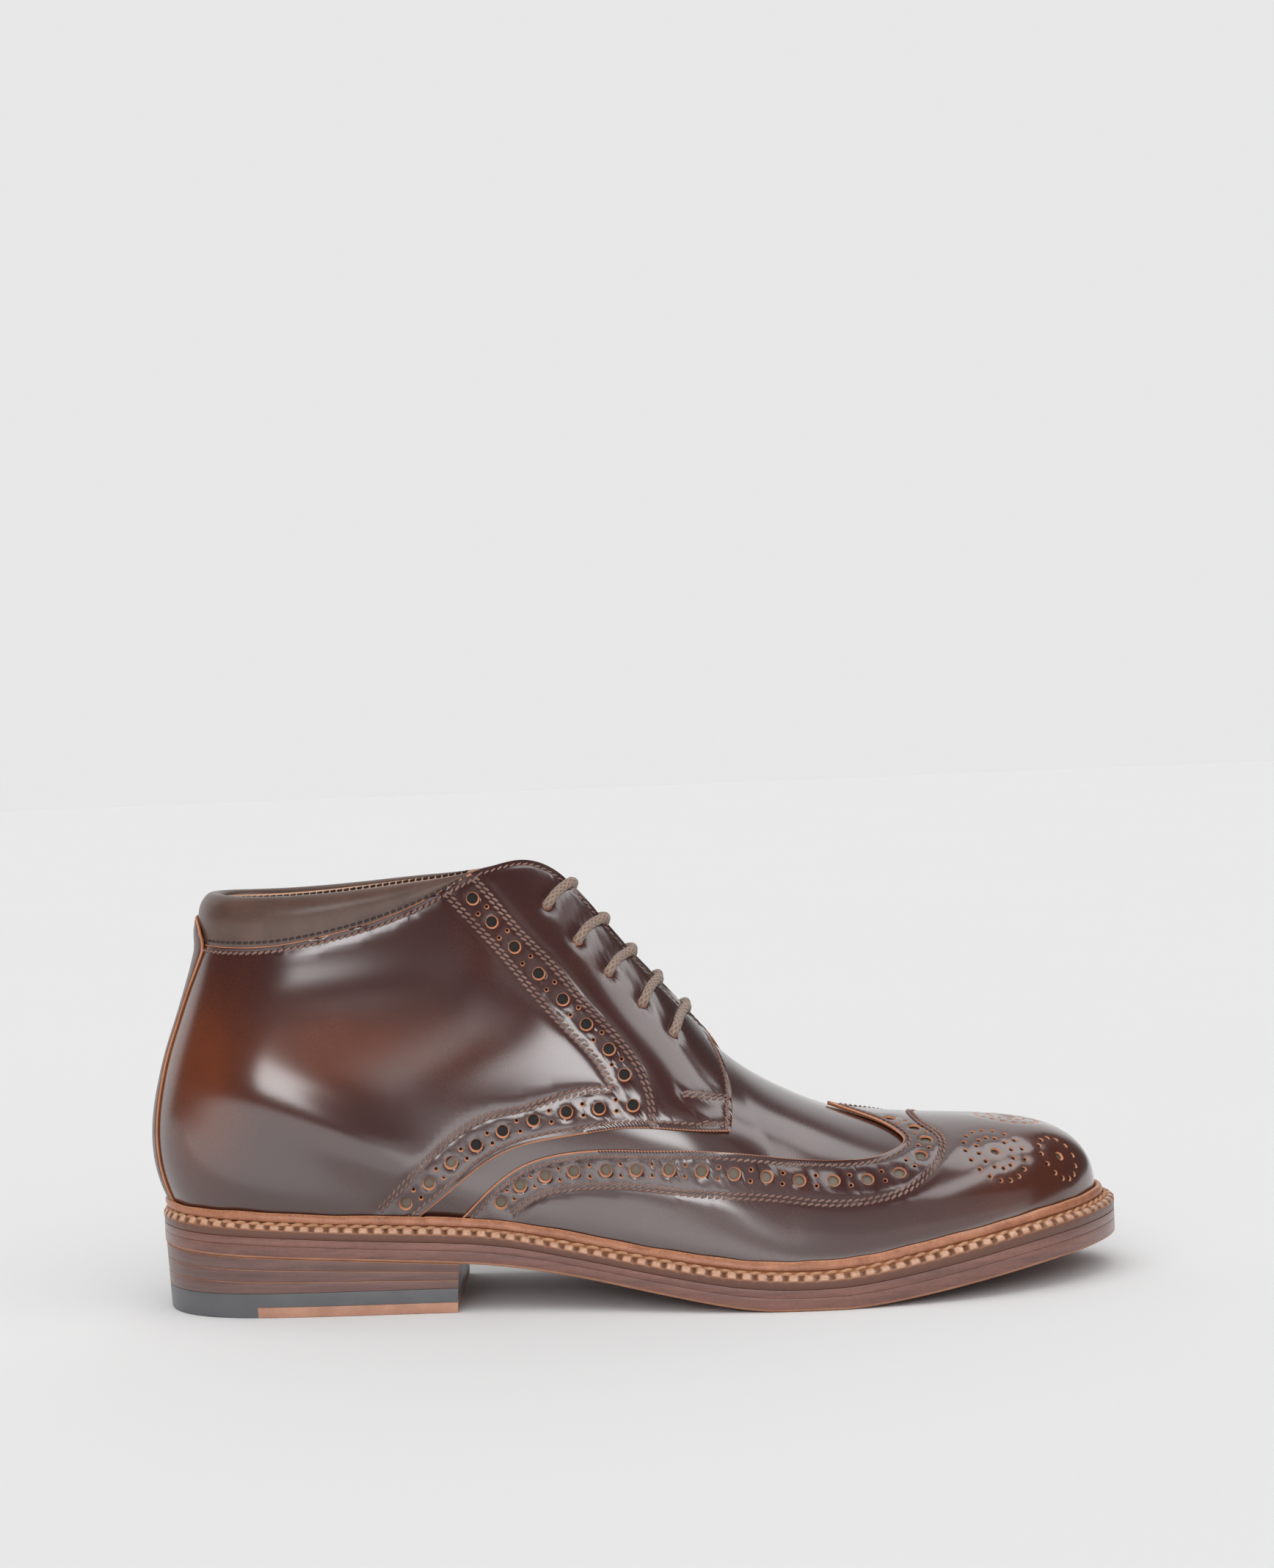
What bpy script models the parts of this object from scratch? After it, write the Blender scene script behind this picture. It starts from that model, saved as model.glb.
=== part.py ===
"""Brogue ankle boot for the right foot: hollow upper, padded collar, tongue, lace, welt, sole, heel stack.

Tables are in millimetres: x from the back of the heel to the toe, y from the heel's centre line with minus
on the outer side of the foot, z from the floor. Objects are in metres under an empty that centres the boot.
"""
import math
from types import SimpleNamespace

import bmesh
import bpy
import numpy as np
from mathutils import Vector

MM = 0.001


def table(columns, *rows):
    """A short table as one array for each named column."""
    return SimpleNamespace(**dict(zip(columns.split(), np.array(rows, float).T)))


GAP = 0.3
WALL = 2.4
LIP_THICK = 2.2
LIP_GAP = 0.45
LIP_HEIGHT = 4.2
WELT_TUCK = 2.6
EDGE_ROUND = 0.6
OUTSOLE_SHARE = 0.44
MIDSOLE_SHARE = 0.70
INSOLE_INSET = 3.4
INSOLE_RISE = 1.4
FOREFOOT_FLAT = (195.0, 218.0)

HEEL_LENGTH = 98.0
HEEL_TAPER = math.tan(math.radians(3.0))
HEEL_INSET = 0.4
LIFTS = 3
RUBBER_TOP = 7.7
POCKET_TOP = 3.4
POCKET_FROM = 29.0
HEEL_ROWS = 7
HEEL_SIDE_POINTS = 15

COLLAR_END_ROW = 5.72
COLLAR_BULGE = 1.6
COLLAR_PAD = 3.4
COLLAR_HEIGHT = 14.0

LACE_RADIUS = 1.4
LACE_CLEAR = 0.65
LACE_SLACK = 0.7
LACE_BEND = 2.6
BAR_DIP = np.array([-0.5, 0.0, -0.7])
HOLE_RADIUS = 2.3
TONGUE_THICK = 2.0
TONGUE_WRAP = 80

# The last, one row for each section from the heel's back round either side to the toe's tip. A section is a
# curve from the feather line (foot) to the crest: rise and flare shape its start, reach and drop its end.
# aim is the way it faces in plan, 180 to the back and 0 to the toe; low_in is how much lower the inner
# side's crest is, half is half the opening there, ridge the crest's shift to the inner side, seam the height
# of the collar's seam, and welt how far the sole shows.
LAST = table(
    "foot_x foot_out foot_in aim rise flare crest_x crest_z low_in half ridge reach drop seam "
    "welt_out welt_in",
    (6.5, 0.0, 0.0, 180, 31, 20.0, 18.5, 132.2, 0.0, 0.0, 0.0, 1.5, 38, 116.6, 5.3, 5.3),
    (10.3, 14.0, 14.0, 150, 31, 17.0, 22.0, 132.0, 0.0, 12.6, 0.0, 1.7, 38, 116.3, 5.3, 5.3),
    (20.0, 23.4, 23.0, 122, 31, 13.0, 30.5, 131.5, 0.0, 21.2, 0.0, 1.9, 38, 115.8, 5.4, 5.3),
    (36.0, 28.4, 27.6, 100, 31, 9.0, 45.0, 131.3, 0.0, 26.3, 0.0, 2.0, 38, 116.3, 5.6, 5.3),
    (60.0, 30.2, 28.0, 90, 31, 6.0, 66.0, 132.2, 0.0, 27.8, 0.0, 2.5, 38, 120.2, 5.8, 5.2),
    (85.0, 31.0, 26.0, 90, 31, 4.0, 88.0, 134.2, 0.5, 26.6, 0.0, 3.5, 38, 127.4, 6.0, 5.0),
    (110.0, 32.4, 24.0, 90, 31, 3.0, 107.0, 136.6, 1.5, 23.2, 0.0, 6.0, 38, 136.6, 6.3, 4.8),
    (132.0, 35.4, 24.4, 90, 32, 2.0, 122.0, 139.2, 2.0, 17.4, 0.0, 9.0, 33, 139.2, 6.7, 4.9),
    (152.0, 39.6, 27.8, 90, 34, 2.0, 136.0, 130.9, 1.5, 11.4, 0.0, 13.0, 20, 130.9, 7.2, 5.2),
    (170.0, 43.6, 32.8, 90, 32, 2.0, 152.0, 110.8, 0.8, 9.4, 0.5, 16.0, 11, 110.8, 7.7, 5.9),
    (187.0, 46.4, 37.2, 90, 28, 2.0, 168.0, 92.2, 0.3, 8.0, 1.0, 18.0, 7, 92.2, 8.0, 6.6),
    (203.0, 47.7, 40.7, 90, 24, 2.0, 184.0, 74.4, 0.0, 0.0, 1.5, 19.0, 1, 74.4, 8.0, 7.0),
    (219.0, 47.2, 42.9, 90, 20, 2.0, 203.0, 61.0, 0.0, 0.0, 2.2, 20.0, 0, 61.0, 8.0, 7.3),
    (236.0, 44.8, 43.5, 82, 18, 2.0, 222.0, 53.2, 0.0, 0.0, 3.2, 22.0, 0, 53.2, 8.0, 7.4),
    (254.0, 40.5, 42.0, 75, 17, 2.0, 241.0, 50.6, 0.0, 0.0, 4.2, 22.0, 0, 50.6, 7.8, 7.4),
    (270.0, 33.5, 38.6, 66, 16, 2.0, 257.0, 49.7, 0.0, 0.0, 5.0, 20.0, 0, 49.7, 7.4, 7.2),
    (284.0, 24.0, 32.5, 53, 15, 2.5, 269.0, 48.6, 0.0, 0.0, 5.8, 18.0, 0, 48.6, 7.1, 7.1),
    (294.8, 11.5, 23.5, 33, 14, 2.5, 277.0, 47.4, 0.0, 0.0, 6.3, 15.0, 1, 47.4, 6.9, 6.9),
    (301.3, -6.5, 6.5, 0, 13, 2.5, 280.5, 46.6, 0.0, 0.0, 6.5, 11.0, 1.5, 46.6, 6.9, 6.9),
)
TOE_ROW = len(LAST.foot_x) - 1
LOOP_ROWS = 2 * TOE_ROW
FACING_ROW = 6
THROAT_ROW = 11

# The sole from the side: the tread's height and the top of the welt's flange.
SOLE = table(
    "x tread top",
    (-5, 21.3, 30.5),
    (30, 19.3, 28.6),
    (60, 17.6, 26.6),
    (90, 15.9, 25.0),
    (110, 14.4, 23.4),
    (125, 12.3, 20.8),
    (140, 9.6, 17.9),
    (155, 6.5, 15.0),
    (170, 3.5, 12.4),
    (183, 1.2, 10.6),
    (195, 0.0, 9.7),
    (218, 0.0, 9.9),
    (230, 1.1, 11.4),
    (245, 3.2, 13.8),
    (260, 5.5, 16.3),
    (280, 8.3, 19.2),
    (300, 10.2, 21.0),
    (312, 10.8, 21.5),
)

# Lace holes on either facing, from the lowest up, as they show from the side, and the x at which each bar
# leaves the facing's edge.
HOLES = table(
    "x z edge_x",
    (167.1, 83.0, 171.0),
    (157.8, 92.7, 162.5),
    (147.5, 102.9, 154.5),
    (138.2, 113.3, 146.0),
    (128.9, 124.8, 136.0),
)

# The tongue from its sewn end up: the middle line, and how far its edges stand aside, back and down from it.
TONGUE = table(
    "x z half back down",
    (197.0, 60.6, 15.0, 3.5, 6.5),
    (189.0, 65.9, 15.5, 5.0, 7.5),
    (178.3, 73.2, 16.0, 9.0, 10.0),
    (163.2, 87.8, 16.0, 12.5, 11.0),
    (146.9, 106.2, 16.0, 13.0, 11.0),
    (130.9, 126.0, 17.0, 21.0, 8.0),
    (124.8, 134.6, 19.6, 34.0, 2.0),
)


def spline(knots, values, at):
    """A natural cubic spline through a value, or a row of values, at each knot."""
    knots, values = np.asarray(knots, float), np.asarray(values, float)
    at = np.asarray(at, float)
    count, step = len(knots), np.diff(knots)
    system = np.eye(count)
    slope = (np.diff(values, axis=0).T / step).T
    force = np.zeros_like(values)
    for i in range(1, count - 1):
        system[i, i - 1 : i + 2] = step[i - 1], 2 * (step[i - 1] + step[i]), step[i]
        force[i] = 6 * (slope[i] - slope[i - 1])
    bend = np.linalg.solve(system, force)
    i = np.clip(np.searchsorted(knots, at) - 1, 0, count - 2)
    shape = at.shape + (1,) * (values.ndim - 1)
    h, a, b = (part.reshape(shape) for part in (step[i], knots[i + 1] - at, at - knots[i]))
    curved = (bend[i] * a**3 + bend[i + 1] * b**3) / (6 * h)
    return curved + (values[i] / h - bend[i] * h / 6) * a + (values[i + 1] / h - bend[i + 1] * h / 6) * b


def round_loop(outer, inner):
    """One value per row of the whole loop: the outer side from heel to toe, then the inner side back."""
    return np.concatenate([outer, inner[-2:0:-1]])


def both_sides(outer_minus, inner_plus):
    return round_loop(-np.asarray(outer_minus), np.asarray(inner_plus))


def tread(x):
    flat_from, flat_to = FOREFOOT_FLAT
    height = np.maximum(spline(SOLE.x, SOLE.tread, x), 0.0)
    return np.where((x >= flat_from) & (x <= flat_to), 0.0, height)


def sole_level(x, share):
    """A height in the sole, from 0 at the tread to 1 at the top of the welt's flange."""
    return tread(x) + share * (spline(SOLE.x, SOLE.top, x) - tread(x))


def stack(*columns):
    return np.stack(columns, axis=-1)


AIM_X = np.cos(np.radians(LAST.aim))
AIM_Y = np.sin(np.radians(LAST.aim))
FOOT_LOOP = stack(
    round_loop(LAST.foot_x, LAST.foot_x),
    both_sides(LAST.foot_out, LAST.foot_in),
    round_loop(sole_level(LAST.foot_x, 1.0), sole_level(LAST.foot_x, 1.0)) + GAP,
)
START_LOOP = stack(
    round_loop(LAST.flare * AIM_X, LAST.flare * AIM_X),
    both_sides(LAST.flare * AIM_Y, LAST.flare * AIM_Y),
    round_loop(LAST.rise, LAST.rise),
)
CREST_LOOP = stack(
    round_loop(LAST.crest_x, LAST.crest_x),
    round_loop(LAST.ridge, LAST.ridge),
    round_loop(LAST.crest_z, LAST.crest_z),
)
END_LOOP = stack(
    round_loop(LAST.reach * AIM_X, LAST.reach * AIM_X),
    both_sides(LAST.reach * AIM_Y, LAST.reach * AIM_Y),
    round_loop(-LAST.drop, -LAST.drop),
)
OPENING_LOOP = stack(both_sides(LAST.half, LAST.half), round_loop(0 * LAST.low_in, -LAST.low_in))
SEAM_LOOP = round_loop(LAST.seam, LAST.seam - LAST.low_in)
WELT_LOOP = round_loop(LAST.welt_out, LAST.welt_in)


def around(loop, turn):
    """A smooth value at any turn, in rows round the closed loop."""
    margin = 6
    rows = np.arange(-margin, LOOP_ROWS + margin + 1)
    return spline(rows, loop[rows % LOOP_ROWS], np.mod(turn, LOOP_ROWS))


def last_surface(turn, climb):
    """A point on the last at a turn round it and a climb from 0 at the feather line to 1 at the crest."""
    turn, climb = np.broadcast_arrays(np.asarray(turn, float), np.asarray(climb, float))
    foot = around(FOOT_LOOP, turn)
    crest = around(CREST_LOOP, turn)
    row = np.minimum(np.mod(turn, LOOP_ROWS), LOOP_ROWS - np.mod(turn, LOOP_ROWS))
    crest[..., 1:] += np.where(row < THROAT_ROW, 1.0, 0.0)[..., None] * around(OPENING_LOOP, turn)
    start = foot + around(START_LOOP, turn)
    end = crest + around(END_LOOP, turn)
    v = climb[..., None]
    u = 1 - v
    return u**3 * foot + 3 * u**2 * v * start + 3 * u * v**2 * end + v**3 * crest


def last_normal(turn, climb):
    step = 0.002
    along = last_surface(turn + step, climb) - last_surface(turn - step, climb)
    upward = last_surface(turn, climb + step) - last_surface(turn, climb - step)
    normal = np.cross(along, upward)
    return normal / np.linalg.norm(normal, axis=-1, keepdims=True)


def off_last(turn, climb, height):
    """A point at a height above the last's surface, or below it if negative."""
    turn, climb = np.broadcast_arrays(np.asarray(turn, float), np.asarray(climb, float))
    return last_surface(turn, climb) + last_normal(turn, climb) * np.asarray(height)[..., None]


def climb_at_height(turn, z):
    """The climb at which each section reaches a height."""
    climbs = np.linspace(0, 1, 101)
    heights = last_surface(np.asarray(turn)[:, None], climbs[None, :])[..., 2]
    return np.array([np.interp(wanted, row, climbs) for wanted, row in zip(z, heights)])


def spot(x, z, inner_side):
    """The turn and climb of the facing's point that shows at x and z from the side."""
    turn_low, turn_high, climb_low, climb_high = FACING_ROW, THROAT_ROW - 0.1, 0.45, 1.0
    for _ in range(5):
        turns = np.linspace(turn_low, turn_high, 40)[:, None]
        climbs = np.linspace(climb_low, climb_high, 40)[None, :]
        points = last_surface(LOOP_ROWS - turns if inner_side else turns, climbs)
        miss = (points[..., 0] - x) ** 2 + (points[..., 2] - z) ** 2
        i, j = np.unravel_index(np.argmin(miss), miss.shape)
        turn, climb = turns[i, 0], climbs[0, j]
        turn_span, climb_span = (turn_high - turn_low) / 20, (climb_high - climb_low) / 20
        turn_low, turn_high = turn - turn_span, turn + turn_span
        climb_low, climb_high = climb - climb_span, min(climb + climb_span, 1.0)
    return (LOOP_ROWS - turn if inner_side else turn), climb


def throat_turn(x, inner_side):
    """The turn at which the facing's edge reaches x."""
    turns = np.linspace(FACING_ROW, THROAT_ROW, 201)
    turn = np.interp(x, last_surface(turns, 1.0)[:, 0], turns)
    return LOOP_ROWS - turn if inner_side else turn


def plan_edge(turn, grow):
    """The feather line seen from above, moved outwards by a distance."""
    step = 0.01
    along = last_surface(turn + step, 0)[..., :2] - last_surface(turn - step, 0)[..., :2]
    outward = stack(along[..., 1], -along[..., 0])
    outward /= np.linalg.norm(outward, axis=-1, keepdims=True)
    return last_surface(turn, 0)[..., :2] + outward * np.asarray(grow)[..., None]


def sole_edge(turn, inset=0.0):
    return plan_edge(turn, around(WELT_LOOP, turn) - inset)


def wrapped(points, axis):
    """The same points with the first repeated at the end, so that the skin closes."""
    return np.concatenate([points, np.take(points, [0], axis=axis)], axis=axis)


def skin(points, closed=True):
    """A mesh over a grid of points; its meeting edges merge and, if it is closed, open ends are filled."""
    rows, columns = points.shape[:2]
    bm = bmesh.new()
    bmesh.ops.create_grid(bm, x_segments=rows - 1, y_segments=columns - 1, size=0.5)
    for vert in bm.verts:
        i = round((vert.co.x + 0.5) * (rows - 1))
        j = round((vert.co.y + 0.5) * (columns - 1))
        vert.co = Vector(points[i, j] * MM)
    bmesh.ops.remove_doubles(bm, verts=bm.verts, dist=2e-6)
    bmesh.ops.dissolve_degenerate(bm, edges=bm.edges, dist=1e-6)
    if closed:
        bmesh.ops.holes_fill(bm, edges=bm.edges, sides=0)
        bmesh.ops.recalc_face_normals(bm, faces=bm.faces)
    mesh = bpy.data.meshes.new("skin")
    bm.to_mesh(mesh)
    bm.free()
    return mesh


def finish(name, rgb, roughness):
    material = bpy.data.materials.new(name)
    material.use_nodes = True
    shader = material.node_tree.nodes["Principled BSDF"]
    shader.inputs["Base Color"].default_value = (*rgb, 1.0)
    shader.inputs["Roughness"].default_value = roughness
    shader.inputs["Metallic"].default_value = 0.0
    return material


def collection(name):
    made = bpy.data.collections.new(name)
    bpy.context.scene.collection.children.link(made)
    return made


for leftover in list(bpy.data.objects):
    bpy.data.objects.remove(leftover)
BOOT = collection("brogue_boot")
CUTTERS = collection("cutters")
CENTRE = bpy.data.objects.new("boot_centre", None)
BOOT.objects.link(CENTRE)


def piece(name, data, material):
    obj = bpy.data.objects.new(name, data)
    obj.parent = CENTRE
    obj.data.materials.append(material)
    BOOT.objects.link(obj)
    return obj


def smooth(obj, angle=40):
    obj.data.shade_smooth()
    obj.data.set_sharp_from_angle(angle=math.radians(angle))
    return obj


def cutter(name, data):
    obj = bpy.data.objects.new(name, data)
    obj.parent = CENTRE
    obj.hide_render = True
    obj.display_type = "WIRE"
    CUTTERS.objects.link(obj)
    return obj


def cut(obj, tool):
    boolean = obj.modifiers.new("cut_" + tool.name, "BOOLEAN")
    boolean.operation = "DIFFERENCE"
    boolean.solver = "EXACT"
    boolean.object = tool


def thicken(obj, thickness):
    """A wall of even thickness on the inner side of an open surface."""
    solidify = obj.modifiers.new("wall", "SOLIDIFY")
    solidify.thickness = thickness * MM
    solidify.offset = -1
    solidify.use_even_offset = True


def centre_boot():
    """Puts the middle of the boot's box on the origin: back from the upper, the rest from the sole."""
    turns = np.linspace(0, LOOP_ROWS, 721)
    sole = sole_edge(turns)
    heel = last_surface(0.0, np.linspace(0, 0.6, 61))[:, 0].min()
    middle_x = (heel + sole[:, 0].max()) / 2
    middle_y = (sole[:, 1].min() + sole[:, 1].max()) / 2
    CENTRE.location = Vector((-middle_x * MM, -middle_y * MM, 0))


def slab(name, low, high, edge, material, rows=41, across=5):
    """A layer of the sole between two heights, each a function of x, inside an outline by turn."""
    turns = np.linspace(0, TOE_ROW, rows)
    outer, inner = edge(turns), edge(LOOP_ROWS - turns)
    share = np.linspace(0, 1, across)[None, :, None]
    plan = outer[:, None] * (1 - share) + inner[:, None] * share
    top = np.concatenate([plan, high(plan[..., 0])[..., None]], axis=-1)
    bottom = np.concatenate([plan, low(plan[..., 0])[..., None]], axis=-1)
    return smooth(piece(name, skin(wrapped(np.concatenate([top, bottom[:, ::-1]], axis=1), 1)), material))


def make_sole():
    half_gap = GAP / 2
    slab(
        "outsole",
        tread,
        lambda x: sole_level(x, OUTSOLE_SHARE) - half_gap,
        sole_edge,
        finish("sole_leather", (0.10, 0.045, 0.028), 0.45),
    )
    slab(
        "midsole",
        lambda x: sole_level(x, OUTSOLE_SHARE) + half_gap,
        lambda x: sole_level(x, MIDSOLE_SHARE) - half_gap,
        sole_edge,
        finish("midsole_leather", (0.12, 0.052, 0.032), 0.45),
    )
    slab(
        "insole",
        lambda x: sole_level(x, MIDSOLE_SHARE) + half_gap,
        lambda x: sole_level(x, 1.0) + INSOLE_RISE,
        lambda turn: plan_edge(turn, -INSOLE_INSET),
        finish("insole_leather", (0.62, 0.42, 0.28), 0.7),
    )


def make_welt():
    """A ring: the flange on the midsole, tucked under the upper, and the lip that leans on its wall."""
    turns = np.linspace(0, LOOP_ROWS, 73)[:-1]
    flange = around(WELT_LOOP, turns)
    foot = last_surface(turns, 0)

    def at(grow, rise, share=1.0):
        plan = plan_edge(turns, grow * np.ones_like(turns))
        return np.concatenate([plan, (sole_level(plan[:, 0], share) + rise)[:, None]], axis=-1)

    def lean(rise):
        """How far the upper's wall stands out from its feather line at a height over the flange."""
        climb = climb_at_height(turns, foot[:, 2] - GAP + rise)
        wall = last_surface(turns, climb)[:, :2]
        return np.einsum("ij,ij->i", wall - foot[:, :2], plan_edge(turns, 1.0) - foot[:, :2])

    floor = MIDSOLE_SHARE
    under, edge = GAP / 2, EDGE_ROUND
    middle, upper = LIP_HEIGHT * 0.6, LIP_HEIGHT * 0.9
    section = [
        at(-WELT_TUCK, under, floor),
        at(flange, under, floor),
        at(flange, -edge),
        at(flange - edge, 0),
        at(LIP_THICK + LIP_GAP, 0),
        at(lean(middle) + LIP_THICK + LIP_GAP, middle),
        at(lean(upper) + LIP_THICK * 0.75 + LIP_GAP, upper),
        at(lean(LIP_HEIGHT) + LIP_THICK * 0.35 + LIP_GAP, LIP_HEIGHT),
        at(lean(middle) + LIP_GAP, middle),
        at(LIP_GAP, 0),
        at(-WELT_TUCK, 0),
    ]
    mesh = skin(wrapped(wrapped(np.stack(section, axis=1), 0), 1))
    smooth(piece("welt", mesh, finish("welt_leather", (0.23, 0.085, 0.03), 0.5)))


def heel_outline(z, x_from=None):
    """The heel seen from above at a height, tapered; it starts at x_from instead of going round the back."""
    seat = sole_level(HEEL_LENGTH / 2, 0.0)
    inset = HEEL_INSET + HEEL_TAPER * (seat - z)
    breast = HEEL_LENGTH - inset
    sides = []
    for sign in (1, -1):
        turns = np.linspace(0, HEEL_ROWS, 281)
        edge = sole_edge(sign * turns, inset)
        ends = np.interp([x_from or 0.0, breast], edge[:, 0], turns)
        side = sole_edge(sign * np.linspace(*ends, HEEL_SIDE_POINTS), inset)
        side[-1, 0] = breast
        sides.append(side)
    outer, inner = sides
    return np.concatenate([outer[::-1], inner if x_from else inner[1:]])


def heel_layer(name, low, high, material, x_from=None):
    """A heel layer between two heights, each a number or a function of x."""
    rings = []
    for level in (low, high):
        mean = level(HEEL_LENGTH / 2) if callable(level) else level
        plan = heel_outline(mean, x_from)
        z = level(plan[:, 0]) if callable(level) else np.full(len(plan), level)
        rings.append(np.concatenate([plan, z[:, None]], axis=-1))
    return smooth(piece(name, skin(wrapped(np.array(rings), 1)), material), 30)


def make_heel():
    def lift_level(number):
        share = number / LIFTS
        return lambda x: RUBBER_TOP + share * (seat_line(x) - RUBBER_TOP)

    def seat_line(x):
        """The straight seat under the sole, from its height at the back to its height at the breast."""
        back, front = tread(np.array([0.0, HEEL_LENGTH])) - GAP
        return back + (front - back) * np.asarray(x) / HEEL_LENGTH

    lift_leather = finish("lift_leather", (0.17, 0.075, 0.04), 0.5)
    for number in range(LIFTS):
        low, high = lift_level(number), lift_level(number + 1)
        heel_layer(
            f"heel_lift_{number + 1}",
            lambda x, low=low: low(x) + GAP / 2,
            lambda x, high=high: high(x) - GAP / 2,
            lift_leather,
        )
    black_rubber = finish("rubber", (0.025, 0.023, 0.022), 0.8)
    rubber = heel_layer("heel_rubber", 0.0, RUBBER_TOP - GAP / 2, black_rubber)
    bm = bmesh.new()
    bmesh.ops.create_cube(bm, size=1.0)
    pocket_end, pocket_low, pocket_width = HEEL_LENGTH + 5, -5.0, 90.0
    pocket_size = Vector((pocket_end - POCKET_FROM, pocket_width, POCKET_TOP - pocket_low))
    pocket_middle = Vector(((POCKET_FROM + pocket_end) / 2, 0, (POCKET_TOP + pocket_low) / 2))
    bmesh.ops.scale(bm, verts=bm.verts, vec=pocket_size * MM)
    bmesh.ops.translate(bm, verts=bm.verts, vec=pocket_middle * MM)
    pocket = bpy.data.meshes.new("heel_pocket")
    bm.to_mesh(pocket)
    bm.free()
    cut(rubber, cutter("heel_pocket", pocket))
    insert_leather = finish("insert_leather", (0.20, 0.09, 0.045), 0.55)
    heel_layer("heel_insert", 0.0, POCKET_TOP - GAP, insert_leather, POCKET_FROM + GAP)


def seam_climb(turn):
    return climb_at_height(turn, around(SEAM_LOOP, turn))


def make_upper():
    """Vamp, quarters and facings as one wall, up to the collar's seam, with a hole for each lace pass."""
    turns = np.linspace(0, LOOP_ROWS, 91)
    row = np.minimum(turns, LOOP_ROWS - turns)
    top = np.where(row < FACING_ROW, seam_climb(turns), 1.0)
    climbs = np.linspace(0, 1, 12)[None, :] * top[:, None]
    points = last_surface(turns[:, None], climbs)
    upper = piece("upper", skin(points, closed=False), finish("upper_leather", (0.09, 0.035, 0.018), 0.3))
    smooth(upper)
    thicken(upper, WALL)
    bm = bmesh.new()
    for inner_side in (False, True):
        for x, z in zip(HOLES.x, HOLES.z):
            turn, climb = spot(x, z, inner_side)
            middle = off_last(turn, climb, -WALL / 2)
            turned = Vector(last_normal(turn, climb)).to_track_quat("Z", "Y").to_matrix().to_4x4()
            turned.translation = Vector(middle * MM)
            bmesh.ops.create_cone(
                bm,
                cap_ends=True,
                segments=12,
                radius1=HOLE_RADIUS * MM,
                radius2=HOLE_RADIUS * MM,
                depth=3 * WALL * MM,
                matrix=turned,
            )
    holes = bpy.data.meshes.new("lace_holes")
    bm.to_mesh(holes)
    bm.free()
    cut(upper, cutter("lace_holes", holes))


def make_collar():
    """The padded band on the quarters' top edge, from one facing round the heel to the other."""
    turns = np.linspace(-COLLAR_END_ROW, COLLAR_END_ROW, 37)
    seam = seam_climb(np.mod(turns, LOOP_ROWS))
    low = last_surface(turns, seam)[:, 2]
    lifted = climb_at_height(np.mod(turns, LOOP_ROWS), low + GAP)
    height = last_surface(turns, np.ones_like(turns))[:, 2] - low
    fullness = np.clip(height / COLLAR_HEIGHT, 0.1, 1)

    def at(share, out):
        climb = lifted + (1 - lifted) * share
        return off_last(turns, climb, out)

    bulge, pad = COLLAR_BULGE * fullness, COLLAR_PAD * fullness
    section = [
        at(0.0, 0 * pad),
        at(0.25, 0.7 * bulge),
        at(0.5, bulge),
        at(0.75, 0.7 * bulge),
        at(0.93, -0.2 * pad),
        at(1.0, -WALL / 2 - 0.4 * pad),
        at(0.93, -WALL - 0.75 * pad),
        at(0.7, -WALL - pad),
        at(0.35, -WALL - 0.75 * pad),
        at(0.0, -WALL + 0 * pad),
    ]
    mesh = skin(wrapped(np.stack(section, axis=1), 1))
    smooth(piece("collar", mesh, finish("collar_leather", (0.10, 0.055, 0.038), 0.55)))


def make_tongue():
    rows = np.linspace(0, len(TONGUE.x) - 1, 19)
    knots = np.arange(len(TONGUE.x))
    x, z, half, back, down = (
        spline(knots, getattr(TONGUE, name), rows)[:, None] for name in ("x", "z", "half", "back", "down")
    )
    angle = np.radians(np.linspace(TONGUE_WRAP, -TONGUE_WRAP, 11))[None, :]
    away = 1 - np.cos(angle)
    side = half * np.sin(angle) + around(CREST_LOOP, THROAT_ROW)[1] * np.ones_like(away)
    points = stack(x - back * away, side, z - down * away)
    tongue = piece("tongue", skin(points, closed=False), finish("tongue_leather", (0.09, 0.04, 0.022), 0.5))
    smooth(tongue)
    thicken(tongue, TONGUE_THICK)


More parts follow.
